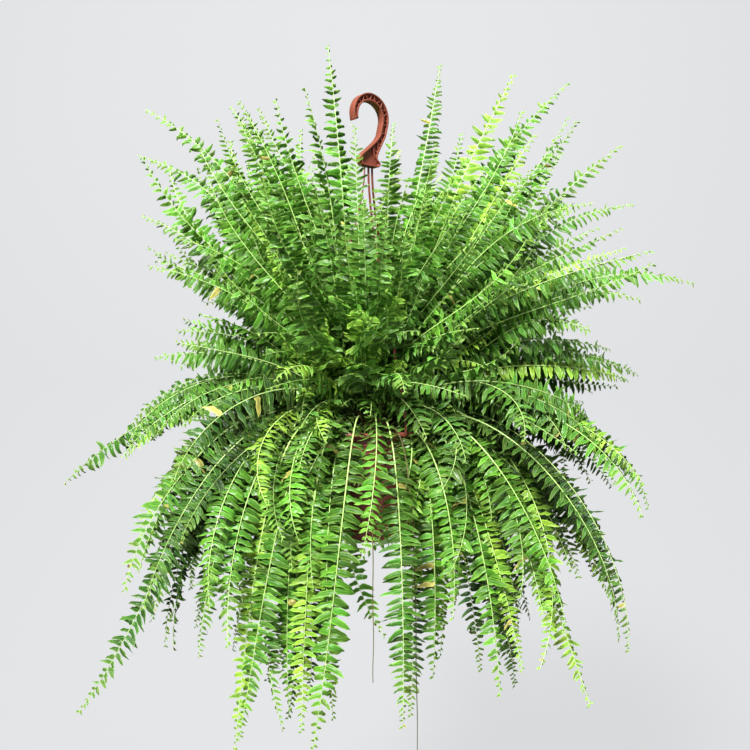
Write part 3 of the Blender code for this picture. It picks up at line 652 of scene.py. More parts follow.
# Tiers of filler fronds: how many, then the ranges of azimuth, launch angle, reach in mm, rise of the tip above
# the rim in mm and slope of the tip, and the share of young ones
TIERS = (
    (54, (-230, -168), (70, 86), (80, 300), (210, 440), (40, 78), 0.12),
    (30, (-192, -118), (72, 84), (60, 240), (110, 330), (40, 75), 0.2),
    (40, (-22, 50), (70, 84), (80, 310), (200, 430), (30, 75), 0.12),
    (28, (-62, 12), (72, 84), (70, 260), (110, 330), (35, 70), 0.2),
    (20, (48, 132), (70, 87), (30, 230), (120, 330), (30, 80), 0.1),
    (20, (-108, -40), (76, 88), (60, 150), (150, 300), (45, 80), 0.2),
    (14, (-125, -55), (62, 78), (110, 215), (20, 190), (-30, 20), 0.2),
    (48, (-32, 25), (50, 70), (220, 365), (-20, 290), (-30, 25), 0.1),
    (18, (-195, -140), (50, 66), (170, 290), (0, 240), (-30, 20), 0.1),
    (54, (-200, -142), (38, 60), (180, 350), (-290, 10), (-87, -55), 0.08),
    (28, (-144, -106), (40, 66), (110, 215), (-385, -60), (-89, -70), 0.25),
    (18, (-60, -38), (40, 66), (120, 215), (-370, -60), (-89, -70), 0.25),
    (58, (-46, 20), (38, 60), (190, 370), (-290, 20), (-87, -52), 0.12),
    (12, (-155, -110), (44, 70), (110, 215), (-120, 60), (-75, -40), 0.1),
    (12, (-52, -22), (44, 70), (110, 215), (-120, 60), (-75, -40), 0.1),
    (18, (15, 165), (38, 56), (170, 270), (-300, 0), (-84, -45), 0.1),
    (18, (-150, -30), (58, 86), (90, 180), (-30, 130), (-60, -5), 0.2),
)
TIP_MARGIN = 16 * MM  # that a filler's tip keeps from the sides of the CAD model's box
STEPS_APART = (0.6180340, 0.7548777, 0.5698403, 0.3247180)  # shares that spread a tier evenly over its ranges
LOW_RISE = 60  # mm above the rim, under which a filler's plane swings more
LOW_SWING, HIGH_SWING = 18, 10  # degrees
YOUNG_SCALE, FILLER_SCALE = 0.80, 0.96  # of a filler's leaflets


def arching_midrib(azimuth, launch, reach, rise, slope, swing):
    """A filler's midrib: one Bezier curve in the upright plane at its azimuth, from the crown to the tip.

    It starts square to the crown's half ellipsoid, where tan(spot) = tan(launch) * height / radius, and its
    handles are 0.38 of the straight way. The plane turns by swing times the share squared.
    """
    radius, height, foot = crown_size()
    up, down = math.radians(launch), math.radians(slope)
    spot = math.atan(math.tan(up) * height / radius)
    start = np.array([radius * math.cos(spot), foot + height * math.sin(spot)])
    turned = math.radians(azimuth + swing)
    room = min(CAD_BOX[way > 0][axis] / way
               for axis, way in enumerate((math.cos(turned), math.sin(turned))) if abs(way) > 0.05) - TIP_MARGIN
    tip = np.array([min(reach * MM, room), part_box("pot")[1][2] + rise * MM])
    handle = 0.38 * np.linalg.norm(tip - start)
    first = start + handle * np.array([math.cos(up), math.sin(up)])
    second = tip - handle * np.array([math.cos(down), math.sin(down)])
    t = np.linspace(0.0, 1.0, MIDRIB_POINTS)[:, None]
    flat = start * (1 - t) ** 3 + 3 * first * t * (1 - t) ** 2 + 3 * second * t**2 * (1 - t) + tip * t**3
    angle = np.radians(azimuth + swing * t[:, 0] ** 2)
    return np.stack([flat[:, 0] * np.cos(angle), flat[:, 0] * np.sin(angle), flat[:, 1]], axis=1)


def tier_fronds(tier, chance):
    """The fronds of a tier: each range is sampled by a low-discrepancy run of shares, with a little chance."""
    count, *ranges, young = tier
    azimuths = (np.arange(count) + chance.uniform(0.2, 0.8, count)) / count
    shares = [(chance.random() + step * np.arange(count)) % 1.0 for step in STEPS_APART]
    # the rise and the launch angle go together, and so do the rise and the tip's slope
    rise = shares[0]
    launch = np.clip(rise + chance.normal(0, 0.35, count), 0, 1)
    slope = np.clip(rise + chance.normal(0, 0.25, count), 0, 1)
    rows = zip((azimuths, launch, shares[1], rise, slope), ranges)
    return np.stack([low + (high - low) * share for share, (low, high) in rows], axis=1), young


def leaf_sizes(chance, scale=1.0):
    """A frond's own leaflet sizes. Where leaflets stand further apart they are broader."""
    fern = bpy.context.scene.fern_leaves
    apart = chance.uniform(0.86, 1.28)
    return {
        "length": fern.length * scale * (1 + chance.normal(0, 0.06)),
        "width": fern.width * scale**0.7 * apart**0.9,
        "spacing": fern.spacing * scale**0.7 * apart,
        "droop": fern.droop + chance.normal(0, 0.10),
        "curl": fern.curl * chance.uniform(0.3, 1.7),
        "twist": fern.twist * chance.uniform(0.6, 1.4),
        "stalk": fern.stalk / 2 * scale**0.5,
    }


class FERN_OT_fronds(bpy.types.Operator):
    """Puts a leafy frond in place of each CAD frond"""

    bl_idname = "fern.fronds"
    bl_label = "Fronds"

    def execute(self, context):
        chance = np.random.default_rng(41)
        for name in sorted(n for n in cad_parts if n.startswith("frond_")):
            midrib = read_midrib(name)
            tone = frond_tone(midrib[0][-1], chance.random() < 0.15, chance)
            thing = frond_object(f"leafy_{name}", *midrib, chance, leaf_sizes(chance), tone, LEAF_ACROSS)
            finish_piece(thing, "leaf", name)
        return {"FINISHED"}


class FERN_OT_filler_fronds(bpy.types.Operator):
    """Adds the fronds that fill the plant between its outline fronds"""

    bl_idname = "fern.filler_fronds"
    bl_label = "Filler Fronds"

    def execute(self, context):
        chance, leaf_chance = np.random.default_rng(97), np.random.default_rng(131)
        number = 0
        for tier in TIERS:
            rows, young_share = tier_fronds(tier, chance)
            for azimuth, launch, reach, rise, slope in rows:
                number += 1
                swing = chance.normal(0, LOW_SWING if rise < LOW_RISE else HIGH_SWING)
                line = evened(arching_midrib(azimuth, launch, reach, rise, slope, swing))
                blade = turned_blade(line, math.radians(azimuth + swing / 2), chance.normal(0, 0.38))
                young = chance.random() < young_share
                tone = frond_tone(line[-1], young, chance)
                sizes = leaf_sizes(chance, YOUNG_SCALE if young else FILLER_SCALE)
                name = f"filler_frond_{number:03d}"
                thing = frond_object(name, line, *blade, leaf_chance, sizes, tone, FILLER_ACROSS)
                finish_piece(thing, "leaf")
        return {"FINISHED"}


# ------------------------------------------------------------------ tubes read back from CAD wires

WIRE_GAP = 4 * MM  # the second ring lies at least this much further off than the cap's last corner


def read_wire(name, target, count):
    """The centreline of a CAD wire, in count points from the end that lies nearest the target.

    Its rings all have as many corners as the flat cap at that end, and a corner's ring is the number of
    edges between it and the cap.
    """
    points, triangles = welded_node(name)
    start = points[np.argmin(np.linalg.norm(points - np.array(target), axis=1))]
    away = np.linalg.norm(points - start, axis=1)
    corners = int(np.argmax(np.diff(np.sort(away)) > WIRE_GAP)) + 1
    ring = numbered_rings(points, triangles, np.argsort(away)[:corners])
    sums = np.stack([np.bincount(ring, weights=points[:, k]) for k in range(3)], axis=1)
    rough = sums / np.bincount(ring)[:, None]
    return smooth_read(np.linspace(0.0, 1.0, len(rough)), rough, np.linspace(0.0, 1.0, count))


def swept(name, line, radius, outline, side):
    """A closed tube along the line: outline (n, 2) is its section, in shares of the radius at each point."""
    along = unit(np.gradient(line, axis=0))
    flank = across(np.broadcast_to(np.array(side, float), along.shape), along)
    up = np.cross(along, flank)
    offset = flank[:, None, :] * outline[None, :, :1] + up[:, None, :] * outline[None, :, 1:]
    points = line[:, None, :] + offset * np.reshape(radius, (-1, 1, 1))
    return new_mesh(name, points.reshape(-1, 3), tube_faces(1, len(line), len(outline)), sharp_angle=50)


class FERN_OT_runners(bpy.types.Operator):
    """Puts a slimmer, slightly wavy stem in place of each CAD runner"""

    bl_idname = "fern.runners"
    bl_label = "Runners"

    def execute(self, context):
        top = (0.0, 0.0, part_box("crown")[1][2])
        share = np.linspace(0.0, 1.0, 90)
        for name in ("runner_1", "runner_2"):
            line = read_wire(name, top, len(share))
            line[:, 0] += 0.5 * MM * np.sin(share * 31) * share
            thing = swept(f"{name}_stem", line, (0.95 - 0.5 * share) * MM, round_outline(8), (1.0, 0.3, 0.0))
            finish_piece(thing, "runner_stem", name)
        return {"FINISHED"}


# ------------------------------------------------------------------ hanger

HOOK_TURN = 38  # degrees, of the hook's plane about Z
HOOK_DEPTH = 12 * MM
HOOK_WEB = 3.6 * MM
HOOK_RIM = 2.0 * MM  # width of the raised rim round the recess
HOOK_EDGE = 0.5 * MM  # rounding of its edges
HOOK_OPENING = 21.0  # radius in mm, as are the rows below: angle and radius, then points from the top of the opening
HOOK_OUTER = ((-22, 31.0), (0, 31.0), (45, 31.8), (90, 31.5), (135, 30.0), (180, 27.3), (198, 26.6))
HOOK_RIGHT = ((26.2, -43), (21.2, -52.5), (15.5, -63), (11.4, -72.5), (12.6, -76.4), (16.6, -78.6), (17.2, -82),
              (14.2, -85.6), (7, -85.9), (-5, -85.7), (-10.5, -85.6), (-13.6, -84.6), (-14.2, -81.6), (-17.1, -80.2),
              (-17.9, -77.2), (-16.2, -73.4), (-12, -69.2), (-5, -63.6), (2, -57.6), (8, -52.2), (13.2, -46.8),
              (16.8, -40.6))
HOOK_NECK_RIBS = (((27.6, -37), (18.0, -41)), ((18.8, -47), (21.0, -51)), ((19.0, -56), (10.5, -53)),
                  ((13.0, -53.5), (14.0, -64)), ((12.6, -68), (3.0, -60)), ((5.0, -62), (9.0, -74)))
HOOK_POINTS = 420
RIB_LEAN = 5.0  # degrees at the loop's middle, to either side
RIB_HALF_WIDTH = 0.55 * MM
RIB_DEPTH_SPARE = 0.8 * MM  # that a rib stays below the rim
STRAP_HALF_WIDTH = 1.4 * MM
STRAP_OUTLINE = np.array([(-1.0, -0.35), (-0.85, -0.62), (-0.35, -0.62), (-0.22, -0.34), (0.22, -0.34),
                          (0.35, -0.62), (0.85, -0.62), (1.0, -0.35), (1.0, 0.35), (0.85, 0.62), (0.35, 0.62),
                          (0.22, 0.34), (-0.22, 0.34), (-0.35, 0.62), (-0.85, 0.62), (-1.0, 0.35)])


def resampled_loop(points):
    """The closed polyline in HOOK_POINTS points, sampled evenly by length."""
    points = np.concatenate([points, points[:1]])
    lengths = run_length(points)
    at = np.linspace(0.0, lengths[-1], HOOK_POINTS, endpoint=False)
    return np.stack([np.interp(at, lengths, points[:, k]) for k in range(2)], axis=1)


def hook_outline():
    """The hook's closed outline, clockwise: tip, outside of the loop, neck and lobed base, inside of the loop.

    Three passes of a quarter, a half and a quarter of neighbouring points round its corners.
    """
    centre = np.array([0.0, -HOOK_OPENING])
    angle = np.radians(np.linspace(198, -14, 90))
    stations, radii = zip(*HOOK_OUTER)
    radius = np.interp(np.degrees(angle), stations, radii)
    outer = centre + np.stack([radius * np.cos(angle), radius * np.sin(angle)], axis=1)
    back = np.radians(np.linspace(-18, 197, 70))
    inner = centre + HOOK_OPENING * np.stack([np.cos(back), np.sin(back)], axis=1)
    rough = np.concatenate([outer, np.array(HOOK_RIGHT, float), inner])
    end_a, end_b = inner[-1], outer[0]
    middle, half = (end_a + end_b) / 2, np.linalg.norm(end_b - end_a) / 2
    first = math.atan2(*(end_a - middle)[::-1])
    turn = first + np.linspace(0, math.pi, 12)[1:-1]
    cap = middle + half * np.stack([np.cos(turn), np.sin(turn)], axis=1)
    closed = resampled_loop(np.concatenate([rough, cap]))
    for _ in range(3):
        closed = closed * 0.5 + (np.roll(closed, 1, axis=0) + np.roll(closed, -1, axis=0)) * 0.25
    outline = resampled_loop(closed) * MM
    area = np.sum(outline[:, 0] * np.roll(outline[:, 1], -1) - outline[:, 1] * np.roll(outline[:, 0], -1))
    return outline[::-1] if area > 0 else outline


def inset(outline, amount):
    """A closed outline moved inwards, along the mean of its neighbours' normals."""
    step = unit(np.roll(outline, -2, axis=0) - np.roll(outline, 2, axis=0))
    normal = np.stack([step[:, 1], -step[:, 0]], axis=1)
    return outline + normal * amount


class FERN_OT_hook(bpy.types.Operator):
    """Makes the hook: a rounded rim round a recessed, ribbed web, on both faces"""

    bl_idname = "fern.hook"
    bl_label = "Hook"

    def execute(self, context):
        outline = hook_outline()
        half, web, edge, rim = HOOK_DEPTH / 2, HOOK_WEB / 2, HOOK_EDGE, HOOK_RIM
        # steps across the section, from the web's front, over the rim and round to the web's back
        steps = [(rim + edge, web), (rim, web + edge), (rim, half - edge), (rim - 0.3 * edge, half - 0.3 * edge),
                 (rim - edge, half), (edge, half), (0.3 * edge, half - 0.3 * edge), (0.0, half - edge)]
        steps = steps + [(draw, -deep) for draw, deep in reversed(steps)]
        loops = np.stack([
            np.insert(inset(outline, draw), 1, -deep, axis=1) for draw, deep in steps])
        count, rings = len(outline), len(steps)
        ring, here = np.arange(rings - 1)[:, None] * count, np.arange(count)[None, :]
        after = (here + 1) % count
        quads = np.stack([ring + here, ring + after, ring + count + after, ring + count + here], axis=-1)
        front = np.arange(count)[::-1][None, :]
        back = ((rings - 1) * count + np.arange(count))[None, :]
        thing = new_mesh("hook_body", loops.reshape(-1, 3), [quads.reshape(-1, 4), front, back], sharp_angle=38)
        join(thing, self.ribs())
        turn_mesh(thing.data, math.radians(HOOK_TURN))
        finish_piece(thing, "terracotta_plastic", "hanger_hook")
        return {"FINISHED"}

    def ribs(self):
        """Slanting ribs across the recess of the loop, leaning one way and then the other, and six in the neck."""
        angle = np.radians(np.linspace(178, -16, 14))
        lean = np.radians(RIB_LEAN) * np.where(np.arange(len(angle)) % 2, 1.0, -1.0)
        centre = np.array([0.0, -HOOK_OPENING * MM])
        outer_radius = np.interp(np.degrees(angle), *zip(*HOOK_OUTER)) * MM - HOOK_RIM / 2
        low, high = angle - lean, angle + lean
        inside = centre + (HOOK_OPENING * MM + HOOK_RIM / 2) * np.stack([np.cos(low), np.sin(low)], axis=1)
        outside = centre + outer_radius[:, None] * np.stack([np.cos(high), np.sin(high)], axis=1)
        rows = [*zip(inside, outside), *np.array(HOOK_NECK_RIBS) * MM]
        return bars("hook_ribs", np.array(rows), RIB_HALF_WIDTH, HOOK_DEPTH / 2 - RIB_DEPTH_SPARE)


def bars(name, rows, half_width, half_depth):
    """Closed upright bars in the XZ plane between pairs of points, with a narrowed top and bottom edge."""
    run = unit(rows[:, 1] - rows[:, 0])
    flank = np.stack([-run[:, 1], run[:, 0]], axis=1)
    section = np.array([(-1.0, -0.93), (-0.6, -1.0), (0.6, -1.0), (1.0, -0.93),
                        (1.0, 0.93), (0.6, 1.0), (-0.6, 1.0), (-1.0, 0.93)])
    ends = rows[:, :, None, :] + flank[:, None, None, :] * (section[None, None, :, :1] * half_width)
    deep = np.broadcast_to(section[None, None, :, 1] * half_depth, ends.shape[:-1])
    points = np.stack([ends[..., 0], deep, ends[..., 1]], axis=-1)
    return new_mesh(name, points.reshape(-1, 3), tube_faces(len(rows), 2, 8), sharp_angle=30)


def turn_mesh(mesh, angle):
    """Turns a mesh's points about Z."""
    points = get_points(mesh)
    x, y = points[:, 0].copy(), points[:, 1].copy()
    points[:, 0] = x * math.cos(angle) - y * math.sin(angle)
    points[:, 1] = x * math.sin(angle) + y * math.cos(angle)
    set_points(mesh, points)


def join(thing, other):
    """Joins the other mesh object into the first."""
    with bpy.context.temp_override(active_object=thing, selected_editable_objects=[thing, other]):
        bpy.ops.object.join()


class FERN_OT_straps(bpy.types.Operator):
    """Makes the three straps: flat bands with a groove down each face"""

    bl_idname = "fern.straps"
    bl_label = "Straps"

    def execute(self, context):
        for number in (1, 2, 3):
            name = f"hanger_strap_{number}"
            line = read_wire(name, (0.0, 0.0, 0.0), 120)
            foot = line[-1] - np.array([0.0, 0.0, line[-1][2]])
            side = np.cross(unit(foot), np.array([0.0, 0.0, 1.0]))
            thing = swept(f"grooved_strap_{number}", line, STRAP_HALF_WIDTH, STRAP_OUTLINE, side)
            finish_piece(thing, "terracotta_plastic", name)
        return {"FINISHED"}


# ------------------------------------------------------------------ pot, saucer, soil, crown

POT_RIM_RADIUS = 110 * MM
POT_BASE_RADIUS = 70 * MM
POT_WALL = 1.8 * MM
RIM_FLANGE = 6 * MM
RIM_THICKNESS = 3 * MM
FOOT_HEIGHT = 3 * MM
POT_HOLE = 3.7 * MM  # radius of the hole in its floor
POT_STEPS = (16, 22, 28)  # mm below the rim
SAUCER_WALL = 1.6 * MM
SAUCER_HEIGHT = 20 * MM
SAUCER_TAPER = 0.234  # of its wall, out from upright
SAUCER_RIBS = 4
RIB_SECTION = ((0.03, 0.4), (0.18, 1.0), (0.60, 1.0), (0.80, 0.1), (0.97, 0.1))  # share down a rib, and mm proud
STUD_RADIUS = 3.4 * MM
STUD_HEAD = (5.2 * MM, 2.2 * MM)  # radius and depth
SOIL_TAPER = 0.2313
SOIL_HOLE = 6.2 * MM  # radius of the room for the saucer's stud
TURN_STEPS = 84
GOLDEN_ANGLE = math.radians(137.508)


class FERN_OT_pot(bpy.types.Operator):
    """Makes the pot: a thin tapered wall with three fine steps below its rolled rim, and a holed floor"""

    bl_idname = "fern.pot"
    bl_label = "Pot"

    def execute(self, context):
        low, high = (np.array(c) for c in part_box("pot"))
        rim, floor = high[2], low[2] + FOOT_HEIGHT
        height = rim - low[2]

        def outside(z):
            """The wall's outer radius at a height: a straight taper from the base to the flange."""
            return POT_BASE_RADIUS + (POT_RIM_RADIUS - RIM_FLANGE - POT_BASE_RADIUS) * (z - low[2]) / height

        steps = []
        for drop in POT_STEPS:
            z = rim - drop * MM
            steps += [(outside(z + 1.2 * MM), z + 1.2 * MM), (outside(z) + 0.7 * MM, z + 0.5 * MM),
                      (outside(z) + 0.7 * MM, z - 0.5 * MM), (outside(z - 1.2 * MM), z - 1.2 * MM)]
        profile = np.array([
            (POT_HOLE, floor + POT_WALL),
            (outside(floor) - POT_WALL - 1 * MM, floor + POT_WALL),
            (outside(rim) - POT_WALL, rim - 2 * MM),
            (outside(rim) - POT_WALL + 1.2 * MM, rim),
            (POT_RIM_RADIUS - 0.8 * MM, rim),
            (POT_RIM_RADIUS, rim - 0.8 * MM),
            (POT_RIM_RADIUS, rim - RIM_THICKNESS - 1.5 * MM),
            (POT_RIM_RADIUS - 1.4 * MM, rim - RIM_THICKNESS - 1.5 * MM),
            (POT_RIM_RADIUS - 1.6 * MM, rim - RIM_THICKNESS + 0.6 * MM),
            (outside(rim) + 0.3 * MM, rim - RIM_THICKNESS + 0.4 * MM),
            *steps,
            (outside(floor), floor),
            (POT_BASE_RADIUS - 12 * MM, floor),
            (POT_BASE_RADIUS - 12 * MM, low[2]),
            (POT_BASE_RADIUS - 16 * MM, low[2]),
            (POT_BASE_RADIUS - 16 * MM, floor),
            (POT_HOLE, floor),
        ])
        thing = turned_ring("pot_wall", rounded(profile, 0.7 * MM), TURN_STEPS)
        finish_piece(thing, "terracotta_plastic", "pot")
        return {"FINISHED"}


class FERN_OT_saucer(bpy.types.Operator):
    """Makes the saucer: a shallow ribbed dish with a headed stud in the middle of its floor"""

    bl_idname = "fern.saucer"
    bl_label = "Saucer"

    def execute(self, context):
        low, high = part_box("saucer")
        wide, stud_top, bottom = high[0], high[2], low[2]
        rim = bottom + SAUCER_HEIGHT

        def wall(z):
            """The wall's inner radius at a height, less by the taper for each step down from the rim."""
            return wide - SAUCER_WALL - 1 * MM - (rim - z) * SAUCER_TAPER

        head_radius, head_depth = STUD_HEAD
        profile = [(0.0, stud_top), (STUD_RADIUS, stud_top), (head_radius, stud_top - head_depth),
                   (STUD_RADIUS, stud_top - head_depth), (STUD_RADIUS, bottom + SAUCER_WALL),
                   (wall(bottom) - 1.5 * MM, bottom + SAUCER_WALL), (wall(bottom), bottom + SAUCER_WALL + 1 * MM),
                   (wall(rim), rim)]
        for rib in range(SAUCER_RIBS):
            for share, proud in RIB_SECTION:
                z = rim - rib * SAUCER_HEIGHT / SAUCER_RIBS - share * SAUCER_HEIGHT / SAUCER_RIBS
                profile.append((wall(z) + SAUCER_WALL + proud * MM, z))
        profile += [(wall(bottom) + SAUCER_WALL - 1 * MM, bottom), (0.0, bottom)]
        thing = turned_solid("ribbed_saucer", rounded(np.array(profile), 0.6 * MM), TURN_STEPS)
        finish_piece(thing, "terracotta_plastic", "saucer")
        return {"FINISHED"}


def bumpy(x, y, chance, scale, count=24):
    """A sum of sines in random directions: a smooth random height from about -1 to 1."""
    angle, phase = chance.uniform(0, math.tau, count), chance.uniform(0, math.tau, count)
    rate = scale * chance.uniform(0.4, 1.6, count)
    way = x[..., None] * np.cos(angle) * rate + y[..., None] * np.sin(angle) * rate + phase
    return np.sin(way).mean(axis=-1) * 2.2


def crumbs(name, centres, radii, chance):
    """Small closed lumps: stacked rings of six, each lump turned and stretched at random."""
    height = np.array([-0.95, -0.5, 0.0, 0.5, 0.95])
    width = np.sqrt(1 - (height * 0.97) ** 2)[:, None]
    corners = round_outline(6)
    ring = np.stack([
        width * corners[:, 0], width * corners[:, 1], np.broadcast_to(height[:, None] * 0.8, (5, 6))], axis=-1)
    stretch = chance.uniform(0.7, 1.3, (len(centres), 1, 1, 3))
    lump = ring[None] * stretch * (1 + chance.normal(0, 0.08, (len(centres), 5, 6, 1)))
    turn = chance.uniform(0, math.tau, len(centres))[:, None, None]
    tip = chance.uniform(-0.9, 0.9, len(centres))[:, None, None]
    x, y, z = lump[..., 0], lump[..., 1], lump[..., 2]
    x, z = x * np.cos(tip) + z * np.sin(tip), z * np.cos(tip) - x * np.sin(tip)
    x, y = x * np.cos(turn) - y * np.sin(turn), x * np.sin(turn) + y * np.cos(turn)
    points = np.stack([x, y, z], axis=-1) * radii[:, None, None, None] + centres[:, None, None, :]
    return new_mesh(name, points.reshape(-1, 3), tube_faces(len(centres), 5, 6), sharp_angle=60)


class FERN_OT_soil(bpy.types.Operator):
    """Makes the soil with a lumpy top, and grains of perlite and bark on it"""

    bl_idname = "fern.soil"
    bl_label = "Soil"

    def execute(self, context):
        chance = np.random.default_rng(5)
        low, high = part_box("soil")
        radius, top = high[0], high[2]
        foot = radius - (top - low[2]) * SOIL_TAPER
        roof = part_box("saucer")[1][2] + 0.3 * MM
        profile = [(r, top) for r in np.linspace(0.0, radius, 56)]
        profile += [(foot, low[2]), (SOIL_HOLE, low[2]), (SOIL_HOLE, roof), (0.0, roof)]
        thing = turned_solid("soil_body", np.array(profile), 140, sharp_angle=60)
        points = get_points(thing.data)
        x, y = points[:, 0], points[:, 1]
        upper = (points[:, 2] > top - 0.1 * MM) & (np.hypot(x, y) < radius - 0.5 * MM)
        lift = bumpy(x, y, chance, 120.0) * 1.6 + bumpy(x, y, chance, 700.0)
        points[:, 2] += np.where(upper, lift * MM * 0.8, 0.0)
        set_points(thing.data, points)
        finish_piece(thing, "potting_mix", "soil")
        for name, number, size, look in (("soil_crumbs", 420, 1.9, "potting_mix"), ("perlite", 110, 1.5, "perlite")):
            away = radius * np.sqrt(chance.uniform(0.30, 0.93, number))
            angle = chance.uniform(0, math.tau, number)
            rise = chance.uniform(-0.3, 1.0, number) * MM
            centres = np.stack([away * np.cos(angle), away * np.sin(angle), top + rise], axis=1)
            made = crumbs(name, centres, size * MM * chance.uniform(0.5, 1.2, number), chance)
            finish_piece(made, "potting_mix", look=look)
        return {"FINISHED"}


def cones(name, base, direction, length, radius, chance, bend):
    """Closed six-sided cones from base points along directions, each bent upwards by bend times its share squared."""
    share = np.linspace(0.0, 1.0, 5)
    side = across(chance.normal(0, 1, base.shape), direction)
    other = np.cross(direction, side)
    spine = base[:, None] + direction[:, None] * (share[None, :, None] * length[:, None, None])
    spine = spine + np.array([0.0, 0.0, 1.0]) * (share[None, :, None] ** 2 * (bend * length)[:, None, None])
    ring = round_outline(6)[None, :, :]
    around = side[:, None, :] * ring[..., :1] + other[:, None, :] * ring[..., 1:]
    taper = (1 - 0.75 * share**1.5)[None, :, None, None] * radius[:, None, None, None]
    points = spine[:, :, None, :] + around[:, None, :, :] * taper
    return new_mesh(name, points.reshape(-1, 3), tube_faces(len(base), 5, 6), sharp_angle=50)


class FERN_OT_crown(bpy.types.Operator):
    """Makes the crown: a knobbly mound with the stubs of old stalks and a mat of brown scales"""

    bl_idname = "fern.crown"
    bl_label = "Crown"

    def execute(self, context):
        chance = np.random.default_rng(8)
        low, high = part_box("crown")
        radius, height, foot = high[0], high[2] - low[2], low[2]
        profile = [(radius * math.cos(a), foot + height * math.sin(a)) for a in np.linspace(math.pi / 2, 0.0, 34)]
        profile[0] = (0.0, high[2])
        profile.append((0.0, foot))
        thing = turned_solid("crown_mound", np.array(profile), 110, sharp_angle=60)
        points = get_points(thing.data)
        lift = bumpy(points[:, 0], points[:, 1], chance, 260.0) * np.clip((points[:, 2] - foot) / height * 3, 0, 1)
        outward = unit(points - np.array([0.0, 0.0, foot - 0.02]))
        points += (outward * (lift * 1.4 * MM)[:, None]).astype(np.float32)
        set_points(thing.data, points)
        finish_piece(thing, "root_stock", "crown")
        for name, number, size, width in (("stalk_stubs", 170, 11.0, 1.5), ("crown_scales", 600, 5.5, 0.45)):
            # spread evenly over the half ellipsoid, each roughly square to it
            azimuth = np.arange(number) * GOLDEN_ANGLE
            spot = np.arcsin(1 - (np.arange(number) + 0.5) / number * 0.97)
            x, y, z = np.cos(spot) * np.cos(azimuth), np.cos(spot) * np.sin(azimuth), np.sin(spot)
            base = np.stack([radius * np.cos(spot) * np.cos(azimuth), radius * np.cos(spot) * np.sin(azimuth),
                             foot + height * z], axis=1)
            outward = unit(np.stack([x / radius, y / radius, z / height], axis=1))
            outward = unit(outward + chance.normal(0, 0.35, outward.shape))
            length = size * MM * chance.uniform(0.4, 1.3, number)
            thick = width * MM * chance.uniform(0.7, 1.3, number)
            bend = chance.uniform(0.1, 0.5, number)
            made = cones(name, base - outward * 1 * MM, outward, length, thick, chance, bend)
            finish_piece(made, "root_stock")
        return {"FINISHED"}


# ------------------------------------------------------------------ stage

FLOOR_LEVEL = -1.75
FLOOR_FRONT = -6.0
FLOOR_HALF_WIDTH = 6.0
WALL_AWAY = 2.2
WALL_TOP = 4.0
WALL_BEND = 1.2  # radius where the floor turns up into the wall
# name, place, point aimed at and width of each lamp; the stage's setting of that name is its power
LAMPS = (
    ("key", (-0.9, -1.9, 1.75), (0.0, 0.0, -0.40), 0.6),
    ("fill", (2.0, -2.0, 0.5), (0.0, 0.0, -0.45), 1.6),
    ("top", (0.3, -0.3, 2.2), (0.0, 0.0, -0.4), 1.4),
    ("bounce", (0.2, -1.4, -1.5), (0.0, 0.0, -0.45), 1.8),
)
CAMERA_PLACE = (0.009, -0.96, -0.296)
CAMERA_TILT = 4.3  # degrees, downwards
CAMERA_LENS = 33.4
CAMERA_SENSOR = 36.0


class FERN_OT_stage(bpy.types.Operator):
    """Sets a pale floor and backdrop, soft lights and the camera"""

    bl_idname = "fern.stage"
    bl_label = "Stage"

    def execute(self, context):
        settings = context.scene.fern_stage
        self.floor_and_wall(settings)
        for name, place, target, size in LAMPS:
            lamp = bpy.data.lights.new(name, "AREA")
            lamp.shape = "DISK"
            lamp.size = size
            lamp.energy = getattr(settings, name)
            thing = bpy.data.objects.new(name, lamp)
            thing.location = place
            thing.visible_camera = False
            aim = np.array(target) - np.array(place)
            flat = math.hypot(aim[0], aim[1])
            thing.rotation_euler = (math.atan2(flat, -aim[2]), 0.0, math.atan2(-aim[0], aim[1]))
            context.scene.collection.objects.link(thing)
        world = bpy.data.worlds.new("studio")
        world.use_nodes = True
        background = world.node_tree.nodes["Background"]
        set_inputs(world.node_tree, background, {"Color": (0.93, 0.96, 1.0, 1.0), "Strength": settings.ambient})
        context.scene.world = world
        context.scene.view_settings.view_transform = "Standard"
        camera = bpy.data.cameras.new("camera")
        camera.lens = CAMERA_LENS
        camera.sensor_width = CAMERA_SENSOR
        camera.clip_start = 0.01
        seat = bpy.data.objects.new("camera", camera)
        seat.location = CAMERA_PLACE
        seat.rotation_euler = (math.radians(90 - CAMERA_TILT), 0.0, 0.0)
        context.scene.collection.objects.link(seat)
        context.scene.camera = seat
        return {"FINISHED"}

    def floor_and_wall(self, settings):
        """One sheet: the floor, a quarter turn of radius WALL_BEND and the wall, carried from side to side."""
        curve = [(WALL_AWAY - WALL_BEND + WALL_BEND * math.sin(a), FLOOR_LEVEL + WALL_BEND - WALL_BEND * math.cos(a))
                 for a in np.linspace(0.0, math.pi / 2, 48)]
        profile = np.array([(FLOOR_FRONT, FLOOR_LEVEL), *curve, (WALL_AWAY, WALL_TOP)])
        count = len(profile)
        sides = [np.insert(profile, 0, x, axis=1) for x in (-FLOOR_HALF_WIDTH, FLOOR_HALF_WIDTH)]
        step = np.arange(count - 1)
        quads = np.stack([step, step + count, step + count + 1, step + 1], axis=1)
        floor = new_mesh("floor_and_wall", np.concatenate(sides), [quads])
        look, tree, shader = new_material("matt_wall")
        set_inputs(tree, shader, {
            "Base Color": (*settings.wall, 1.0), "Roughness": 0.95, "Specular IOR Level": 0.1,
            "Emission Color": (0.97, 0.985, 1.0, 1.0), "Emission Strength": settings.glow})
        floor.data.materials.append(look)
        floor.visible_diffuse = False
        floor.visible_glossy = False


# ------------------------------------------------------------------ settings, panel and start

